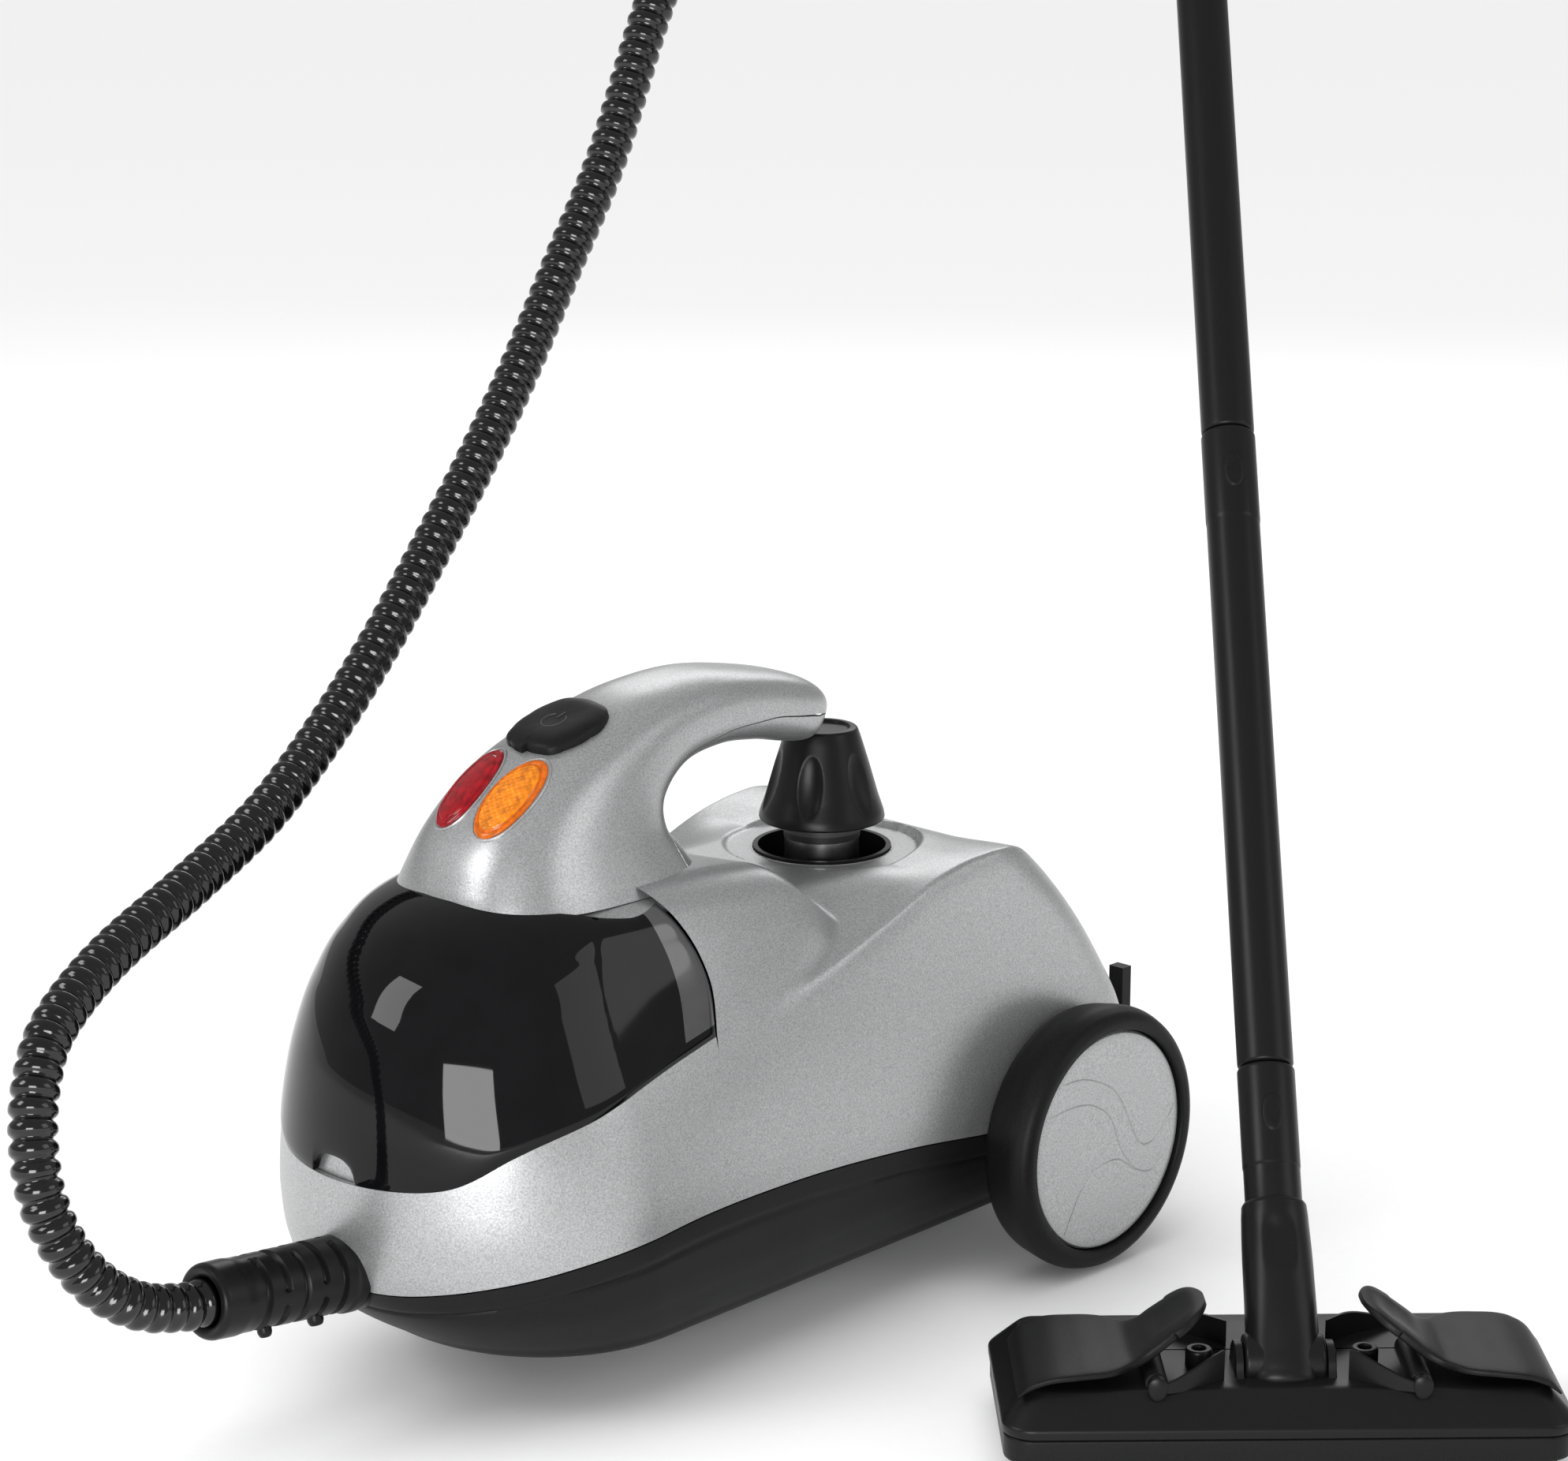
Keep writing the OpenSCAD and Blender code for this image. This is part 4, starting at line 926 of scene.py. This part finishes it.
def sleeve():
    """Ribbed bend relief of the hose."""
    out = np.array([0, -338, 63.5]) * MM
    rise = math.radians(6)
    axis = (0, -math.cos(rise), math.sin(rise))
    profile = fillet(np.array([[5, -22], [16.5, -22], [16.5, -10], [16, -9.6], [16, 2], [16.6, 3],
                               [16.6, 8], [15.8, 9],
                               [15.1, 60], [15.3, 62], [15.6, 64], [15.4, 74], [14, 76], [11.4, 75.6],
                               [9.9, 74],
                               [9.9, 40], [5, 40]]) * MM, 1.2 * MM, 5)
    dense = np.vstack([np.linspace(a, b, max(2, int(np.linalg.norm(b - a) / (0.5 * MM))))[:-1]
                       for a, b in zip(profile[:-1], profile[1:])] + [profile[-1:]])

    def slots(r, h, ang):
        cut = np.zeros(np.broadcast(r, h, ang).shape)
        for i in range(5):
            across = np.clip(1 - ((h - (15.5 + 9.6 * i) * MM) / (1.7 * MM)) ** 4, 0, 1)
            turn = (ang / math.pi + (0.25 if i % 2 else 0.75)) % 1
            along = ramp(np.abs(turn - 0.5), 0.45, 0.42)
            cut = np.maximum(cut, 2.6 * MM * across * along)
        return np.where(r > 12 * MM, r - cut, r)
    b = Build()
    b.turned(dense, out, axis, n=220, shape=slots)
    for at, size in ((24, 3.4), (50, 3.0)):
        p = out + np.array(axis) * at * MM + np.array([6 * MM, 0, -15.2 * MM])
        b.turned(fillet(np.array([[0, 2.6], [size - 0.8, 2.3], [size, 0.6], [size, -2]]) * MM, 0.7 * MM, 5),
                 p,
                 (0.3, 0, -1), n=24)
    b.make("hose_boot", [SATIN], "canister", ["hose_sleeve"], "black_plastic", sharp=45)


# ---------- wand, gun and brush ----------

BRUSH = np.array([285, -97, 0]) * MM
TURN, LEAN = math.radians(45), math.radians(37)
KNUCKLE = np.array([0, -18, 42]) * MM
NECK, LOWER, UPPER = 121 * MM, 288 * MM, 290 * MM
TUBE = 23 * MM


def on_brush(p):
    p = np.asarray(p, float)
    c, s = math.cos(TURN), math.sin(TURN)
    return np.stack([p[..., 0] * c - p[..., 1] * s, p[..., 0] * s + p[..., 1] * c, p[..., 2]], -1) + BRUSH


def on_wand(p, at=0.0):
    p = np.asarray(p, float) + np.array([0, 0, at])
    c, s = math.cos(-LEAN), math.sin(-LEAN)
    y, z = p[..., 1] * c - p[..., 2] * s, p[..., 1] * s + p[..., 2] * c
    return on_brush(np.stack([p[..., 0], y, z], -1) + KNUCKLE)


def wand_axis(at):
    a, b = on_wand(np.array([0, 0, 0.0]), at), on_wand(np.array([0, 0, 0.01]), at)
    return a, (b - a) / 0.01


def tube_piece(name, node, body, at, length, foot):
    """Tube of the wand, with a collar at its socket end."""
    origin, axis = wand_axis(at)
    r = TUBE / 2
    inner = 9.1 * MM
    spigot = [(6.4 * MM, -34 * MM), (8.2 * MM, -34 * MM), (8.75 * MM, -33 * MM),
              (8.75 * MM, 0.2 * MM)] if foot else []
    outline = spigot + [(r - 0.9 * MM, 0.5 * MM), (r - 0.05 * MM, 1.3 * MM), (r, 3 * MM),
                        (r, length - 43 * MM),
                        (r + 0.25 * MM, length - 42 * MM), (r + 0.25 * MM, length - 1.2 * MM),
                        (r - 0.6 * MM, length - 0.1 * MM), (inner + 0.3 * MM, length - 0.1 * MM),
                        (inner, length - 1 * MM), (inner, length - 36 * MM)]
    b = Build()
    line = fillet(outline, 0.6 * MM, 4)
    b.turned(line, origin, axis, n=72)
    b.make(name, [SATIN], body, [node], "black_plastic", sharp=40)


def wand_button(name, node, body, at):
    rings = []
    y0 = -TUBE / 2 + 0.4 * MM
    for k, (scale, out) in enumerate([(1.35, -0.2), (1.35, 0.25), (1.22, 0.55), (1.1, 0.25), (1.04, -0.3),
                                      (1.0, 0.2),
                                      (0.94, 1.1), (0.8, 1.5), (0.5, 1.3), (0.2, 1.15)]):
        e = superellipse(4.4 * MM * scale, 8.2 * MM * scale, 2.2, 56)
        drop = TUBE / 2 - np.sqrt(np.maximum((TUBE / 2) ** 2 - e[:, 0] ** 2, 0))
        p = np.stack([e[:, 0], y0 - out * MM + drop * 0.9, e[:, 1] - 22 * MM], 1)
        rings.append(on_wand(p, at))
    b = Build()
    b.rings(rings, start=False)
    b.make(name, [BLACK], body, [node], "black_plastic", sharp=50)


def neck():
    """Elbow between the wand and the floor brush."""
    sections = [(-13, 9.5, 9, 0, 2.3), (-11, 12.5, 10.8, 0, 2.4), (-6, 14.2, 11.8, -0.2, 2.4),
                (2, 14.6, 12.2, -0.6, 2.4), (14, 14.4, 12.6, -1.4, 2.3), (28, 14.2, 13, -1.4, 2.2),
                (42, 14, 13.4, -0.8, 2.1), (54, 13.6, 13.4, 0, 2.0), (61, 13.2, 13.2, 0, 2.0),
                (63, 12.9, 12.9, 0, 2.0), (64, 12.2, 12.2, 0, 2.0)]
    zs = np.array([q[0] for q in sections]) * MM
    fn = [spline(zs, np.array([q[k] for q in sections]) * (1 if k == 4 else MM)) for k in (1, 2, 3, 4)]
    rings = []
    for z in np.concatenate([np.linspace(-13, 60, 80), np.linspace(60, 64, 10)[1:]]) * MM:
        a, b, dy, power = [float(f(z)) for f in fn]
        e = superellipse(a, b, power, 96)
        dim = np.exp(-((e[:, 0]) / (5.2 * MM)) ** 4 - ((z - 45 * MM) / (9 * MM)) ** 4) * (e[:, 1] < 0)
        rings.append(on_wand(np.stack([e[:, 0], e[:, 1] + dy + dim * 1.6 * MM, np.full(96, z)], 1)))
    b = Build()
    b.rings(rings)
    origin, axis = wand_axis(0)
    r = TUBE / 2
    b.turned(fillet([(9.1 * MM, 62 * MM), (r, 62 * MM), (r, NECK - 43 * MM), (r + 0.25 * MM, NECK - 42 * MM),
                     (r + 0.25 * MM, NECK - 1.2 * MM), (r - 0.6 * MM, NECK - 0.1 * MM),
                     (9.2 * MM, NECK - 0.1 * MM),
                     (9.1 * MM, NECK - 36 * MM)], 0.6 * MM, 4), origin, axis, n=72)
    side = on_wand(np.array([0.01, 0, 0])) - on_wand(np.zeros(3))
    side /= np.linalg.norm(side)
    c = on_wand(np.zeros(3))
    b.turned(fillet([(3.1 * MM, -16 * MM), (10.2 * MM, -16 * MM), (11 * MM, -15 * MM), (11 * MM, 15 * MM),
                     (10.2 * MM, 16 * MM), (3.1 * MM, 16 * MM)], 0.8 * MM, 5), c, side, n=72)
    b.make("neck_elbow", [SATIN], "brush_neck", ["neck_socket"], "black_plastic", sharp=45)


def brush():
    lo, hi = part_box("brush_rim")
    half_w, half_d = 113 * MM, 50 * MM
    b = Build()
    rings = []
    for inset, z in fillet(np.array([[0.9, 22.3], [0.1, 22.9], [0, 26.2], [1.2, 27.6], [9.4, 36.4],
                                     [11.4, 38.4],
                                     [14, 38.9], [20, 39.1], [30, 39.2], [44, 39.3], [49.5, 39.3]]), 1.0, 5):
        i = inset * MM
        r = max(13 * MM - i * 0.5, 0.4 * MM)
        deep = max(half_d - i, 0.42 * MM)
        e = rounded_rect(half_w - i, deep, min(r, deep - 0.01 * MM), 16, between=8)
        rings.append(np.column_stack([e, np.full(len(e), z * MM)]))
    b.grid(on_brush(np.array(rings)), loop_cols=True)
    for s in (-1, 1):
        cheek = []
        for x in (16.4, 16.8, 19.6, 20):
            k = 0.8 if x in (16.4, 20) else 0
            y = np.radians(np.linspace(0, 180, 20))
            prof = np.concatenate([[[KNUCKLE[1] / MM + 12 - k, 38.5]],
                                   np.stack([KNUCKLE[1] / MM + (9.5 - k) * np.cos(y),
                                             42 + (8 - k) * np.sin(y)], 1),
                                   [[KNUCKLE[1] / MM - 12 + k, 38.5]]])
            cheek.append(np.column_stack([np.full(len(prof), s * x), prof]) * MM)
        b.rings([on_brush(c) for c in cheek])
        wing = np.array([[25, -28, 50.5], [31, -32.5, 49], [38, -36.5, 46], [45, -39.2, 43],
                         [51, -40.6, 41.2]])
        wing[:, 0] *= s
        line, _ = route(wing * MM, 2 * MM)
        t, _, _ = frames(line)
        n = np.cross(t, [0, 0, 1])
        n /= np.linalg.norm(n, axis=1)[:, None]
        rows = []
        for w, top in ((-0.8, 0), (-0.8, 1), (-0.45, 1.05), (0.45, 1.05), (0.8, 1), (0.8, 0)):
            p = line + n * w * MM
            p[:, 2] = 38 * MM + (line[:, 2] - 38 * MM) * min(top, 1) + (0.35 * MM if top > 1 else 0)
            rows.append(on_brush(p))
        b.grid(np.array(rows), loop_rows=True)
        back = np.array([[20, 4, 50], [30, 14, 49], [40, 20, 46], [50, 24, 42], [60, 26, 40]])
        back[:, 0] *= s
        line, _ = route(back * MM, 2 * MM)
        rows = []
        for w, top in ((-0.8, 0), (-0.8, 1), (0.8, 1), (0.8, 0)):
            p = line + np.array([0, w * MM, 0])
            p[:, 2] = 38 * MM + (line[:, 2] - 38 * MM) * top
            rows.append(on_brush(p))
        b.grid(np.array(rows), loop_rows=True)
        for x, y in ((33, -14), ):
            b.turned(fillet(np.array([[2.6, 40], [2.6, 45.6], [3.2, 46], [5, 46], [5.4, 45],
                                      [5.4, 38]]) * MM, 0.5 * MM, 4),
                     on_brush(np.array([s * x, y, 0]) * MM), (0, 0, 1), n=40)
        lug = rounded_rect(3.8 * MM, 3.8 * MM, 3.7 * MM, 8)
        lug = np.where(lug[:, 1:] < 0, lug * np.array([1, 1.6]), lug)
        rings = [on_brush(np.column_stack([s * 52 * MM + lug[:, 0] * k, np.full(len(lug), y * MM),
                                           41.2 * MM + lug[:, 1] * k]))
                 for y, k in ((-42.5, 0.8), (-42, 1), (-39, 1), (-38.5, 0.8))]
        b.rings(rings)
    b.make("brush_top", [SATIN], "floor_brush", ["brush_cover", "neck_pin"], "black_plastic", sharp=45)

    rim = Build()
    rings = []
    for inset, z in fillet(np.array([[6, 14], [3.4, 11.6], [1.6, 11.5], [1.0, 12.4], [0.9, 21.4],
                                     [1.7, 22.1], [8, 22.1]]), 0.8, 5):
        e = rounded_rect(half_w - inset * MM, half_d - inset * MM, (12 - inset * 0.6) * MM, 14)
        rings.append(np.column_stack([e, np.full(len(e), z * MM)]))
    rim.grid(on_brush(np.array(rings)), loop_cols=True)
    plate = [np.column_stack([rounded_rect(108 * MM, 45 * MM, 8 * MM, 10) * k,
                              np.full(40, 14.5 * MM)]) for k in (1, 0.5, 0.02)]
    rim.rings([on_brush(p) for p in plate], start=False)
    rim.make("brush_band", [BLACK], "floor_brush", ["brush_rim"], "dark_grey", sharp=45)


def bristles():
    rng = np.random.default_rng(5)
    b = Build()
    strands = 12
    ring = np.radians(np.arange(0, 360, 72))
    for row, y in enumerate((-44, -30, -15, 0, 15, 30, 44)):
        count = 27
        for i in range(count):
            x = (i - (count - 1) / 2) * 8.0 + (2.2 if row % 2 else 0)
            if abs(x) > 108:
                continue
            tilt = rng.normal(0, 0.5, 2)
            for k in range(strands):
                a = k * 2.4
                r = 2.15 * math.sqrt((k + 0.4) / strands)
                root = np.array([x + r * math.cos(a), y * 0.98 + r * math.sin(a), 15.0])
                spread = rng.normal(0, 0.22, 2)
                end = np.array([x + 1.12 * r * math.cos(a) + tilt[0] + spread[0],
                                y * 0.98 + 1.12 * r * math.sin(a) + tilt[1] + spread[1],
                                0.3 + rng.random() * 0.9])
                rows = []
                for t, w in ((0, 0.62), (0.55, 0.62), (0.93, 0.55), (1, 0.3)):
                    c = root * (1 - t) + end * t
                    rows.append(np.stack([c[0] + w * np.cos(ring), c[1] + w * np.sin(ring),
                                          np.full(5, c[2])], 1) * MM)
                b.rings([on_brush(q) for q in rows], start=False)
    b.make("bristle_tufts", [BRISTLE], "floor_brush", ["bristles"], "bristle", sharp=60, weld=1e-7)


def clamps():
    """Pads that grip a cloth at both ends of the brush, each with a pedal."""
    for s, word in ((-1, "left"), (1, "right")):
        b = Build()
        spine = np.array([[31, 66.0], [35, 64.2], [42, 59.4], [50, 53.2], [56, 48.6], [61, 46.4],
                          [68, 45.9], [82, 45.4],
                          [96, 43.6], [102, 40.8], [106.5, 36.4]])
        mids = np.array([-12, -12, -12, -12, -12, -11.5, -11, -11, -11, -11, -11.0])
        deep = np.array([4, 11, 17, 19.2, 19.5, 22, 28, 31.5, 32, 31, 29.0])
        thick = np.array([2.2, 3.8, 4.6, 4.8, 5, 4.6, 4.0, 3.8, 3.6, 3.4, 1.6])
        u = np.concatenate([[0], np.cumsum(np.hypot(*np.diff(spine, axis=0).T))])
        f = [spline(u, v) for v in (spine[:, 0], spine[:, 1], mids, deep, thick)]
        ends = np.concatenate([[0.02, 0.3, 0.8, 1.6, 2.6], np.linspace(4, u[-1] - 1.2, 60),
                               [u[-1] - 0.5, u[-1]]])
        rings = []
        for q in ends:
            x, z, y, d, h = [float(g(q)) for g in f]
            if q < 16:
                d = 19.5 * math.sqrt(max(1 - ((16 - q) / 16.4) ** 2.2, 0.02))
            gx, gz = float(f[0](q + 0.4) - f[0](q - 0.4)), float(f[1](q + 0.4) - f[1](q - 0.4))
            n = np.array([-gz, gx]) / math.hypot(gx, gz)
            e = superellipse(d, h / 2, 5.0, 72)
            soft = np.clip(1 - (np.abs(e[:, 0]) / (d * 0.62)) ** 2, 0, 1) * math.exp(-((q - 15) / 9.0) ** 4)
            e[:, 1] -= np.where(e[:, 1] > 0, soft * 1.1, 0)
            p = np.stack([s * (x + n[0] * e[:, 1]), y + e[:, 0], z + n[1] * e[:, 1]], 1)
            rings.append(on_brush(p * MM))
        b.rings(rings)
        c = on_brush(np.array([s * 52, -36, 39.8]) * MM)
        axis = on_brush(np.array([0, 0.01, 0])) - on_brush(np.zeros(3))
        b.turned(fillet(np.array([[2.1, 0], [4.2, 0], [4.6, 0.5], [4.6, 37.5], [4.2, 38], [2.1, 38]]) * MM,
                        0.4 * MM, 4), c,
                 axis, n=40)
        b.make("cloth_clamp_pad_" + word, [BLACK], "cloth_clamp_" + word, ["clamp_" + word],
               "black_plastic", sharp=45)


GUN = np.array([[0, 3, 0, 17, 17], [0, 26, 0, 18, 21], [3, 52, 14, 18, 25], [17, 80, 34, 17, 22],
                [38, 101, 46, 15.5, 17], [66, 121, 50, 15, 16], [92, 142, 49, 15.5, 17],
                [104, 153, 48, 13, 14]])


def gun():
    at = NECK + LOWER + UPPER
    k = np.arange(len(GUN))
    f = [spline(k, GUN[:, c]) for c in range(5)]
    for side, word in ((-1, "left"), (1, "right")):
        rows = []
        for q in np.concatenate([[0], np.linspace(0.02, 7, 120)]):
            y, z, tilt, w, d = [float(g(q)) for g in f]
            if q < 0.02:
                w, d = w - 1.2, d - 1.2
            t = math.radians(tilt)
            a = np.linspace(-math.pi / 2 + 0.012, math.pi / 2 - 0.012, 48)
            c, e = np.cos(a), np.sin(a)
            px = side * (w * np.abs(c) ** (2 / 2.4))
            py = d * np.sign(e) * np.abs(e) ** (2 / 2.4)
            inn = np.array([[px[0], py[0] * 0.92], [px[-1], py[-1] * 0.92]])
            px, py = np.concatenate([inn[:1, 0], px,
                                     inn[1:, 0]]), np.concatenate([inn[:1, 1], py, inn[1:, 1]])
            rows.append(on_wand(np.stack([px, y + py * math.cos(t), z - py * math.sin(t)], 1) * MM, at))
        mid = rows[-1].mean(0)
        rows = rows + [mid + (rows[-1] - mid) * 0.8, mid + (rows[-1] - mid) * 0.7]
        b = Build()
        b.grid(np.array(rows))
        b.make("gun_half_" + word, [BLACK], "steam_gun", ["gun_shell_" + word], "black_plastic", sharp=50)


# ---------- stage ----------

def studio():
    world = bpy.data.worlds.new("studio")
    bpy.context.scene.world = world
    world.use_nodes = True
    back = world.node_tree.nodes["Background"]
    back.inputs["Color"].default_value = (1, 1, 1, 1)
    back.inputs["Strength"].default_value = 0.42
    bpy.context.scene.view_settings.view_transform = "Standard"

    floor = Build()
    depth, across = np.linspace(-6, 16, 24), np.linspace(-11, 11, 24)
    az = math.radians(43.9)
    ahead, right = np.array([-math.sin(az), math.cos(az), 0]), np.array([math.cos(az), math.sin(az), 0])
    rows = depth[:, None, None] * ahead + across[None, :, None] * right
    rows[..., 2] = -0.0005
    floor.grid(rows)
    paper = finish("backdrop", (0.93, 0.93, 0.93), 0.9, grain=200, shade=0.005, bump=0.0, specular=0.1)
    floor.make("backdrop", [paper], None)

    def area(name, place, aim, size, power):
        data = bpy.data.lights.new(name, "AREA")
        data.shape = "RECTANGLE"
        data.size, data.size_y = size
        data.energy = power
        o = bpy.data.objects.new(name, data)
        bpy.context.scene.collection.objects.link(o)
        o.location = place
        way = Vector(aim) - Vector(place)
        o.rotation_euler = way.to_track_quat("-Z", "Y").to_euler()

    sky = bpy.data.lights.new("overhead", "SUN")
    sky.energy = 1.75
    sky.angle = math.radians(70)
    o = bpy.data.objects.new("overhead", sky)
    bpy.context.scene.collection.objects.link(o)
    o.location = (0, 0, 4)
    o.rotation_euler = (math.radians(14), math.radians(-8), 0)
    o.visible_glossy = False
    area("key_softbox", (-0.9, -2.3, 1.7), (0, -0.25, 0.15), (0.9, 1.1), 20)
    area("window_left", (1.35, -2.1, 0.42), (0, -0.25, 0.13), (1.15, 0.75), 34)
    area("fill_right", (2.6, 0.9, 1.3), (0, -0.1, 0.1), (1.6, 1.6), 12)
    area("rear_strip", (-1.2, 1.6, 1.4), (0, 0, 0.2), (1.6, 0.8), 10)


silver_housing()
collar()
visor()
base_shell()
handle()
lamps()
power_button()
filler_cap()
wheels()
hose()
sleeve()
tube_piece("lower_wand_tube", "lower_tube", "lower_wand", NECK, LOWER, True)
tube_piece("upper_wand_tube", "upper_tube", "upper_wand", NECK + LOWER, UPPER, True)
wand_button("neck_catch", "neck_button", "neck_button_body", NECK)
wand_button("lower_catch", "lower_button", "lower_button_body", NECK + LOWER)
wand_button("upper_catch", "upper_button", "upper_button_body", NECK + LOWER + UPPER)
neck()
brush()
bristles()
clamps()
gun()
studio()
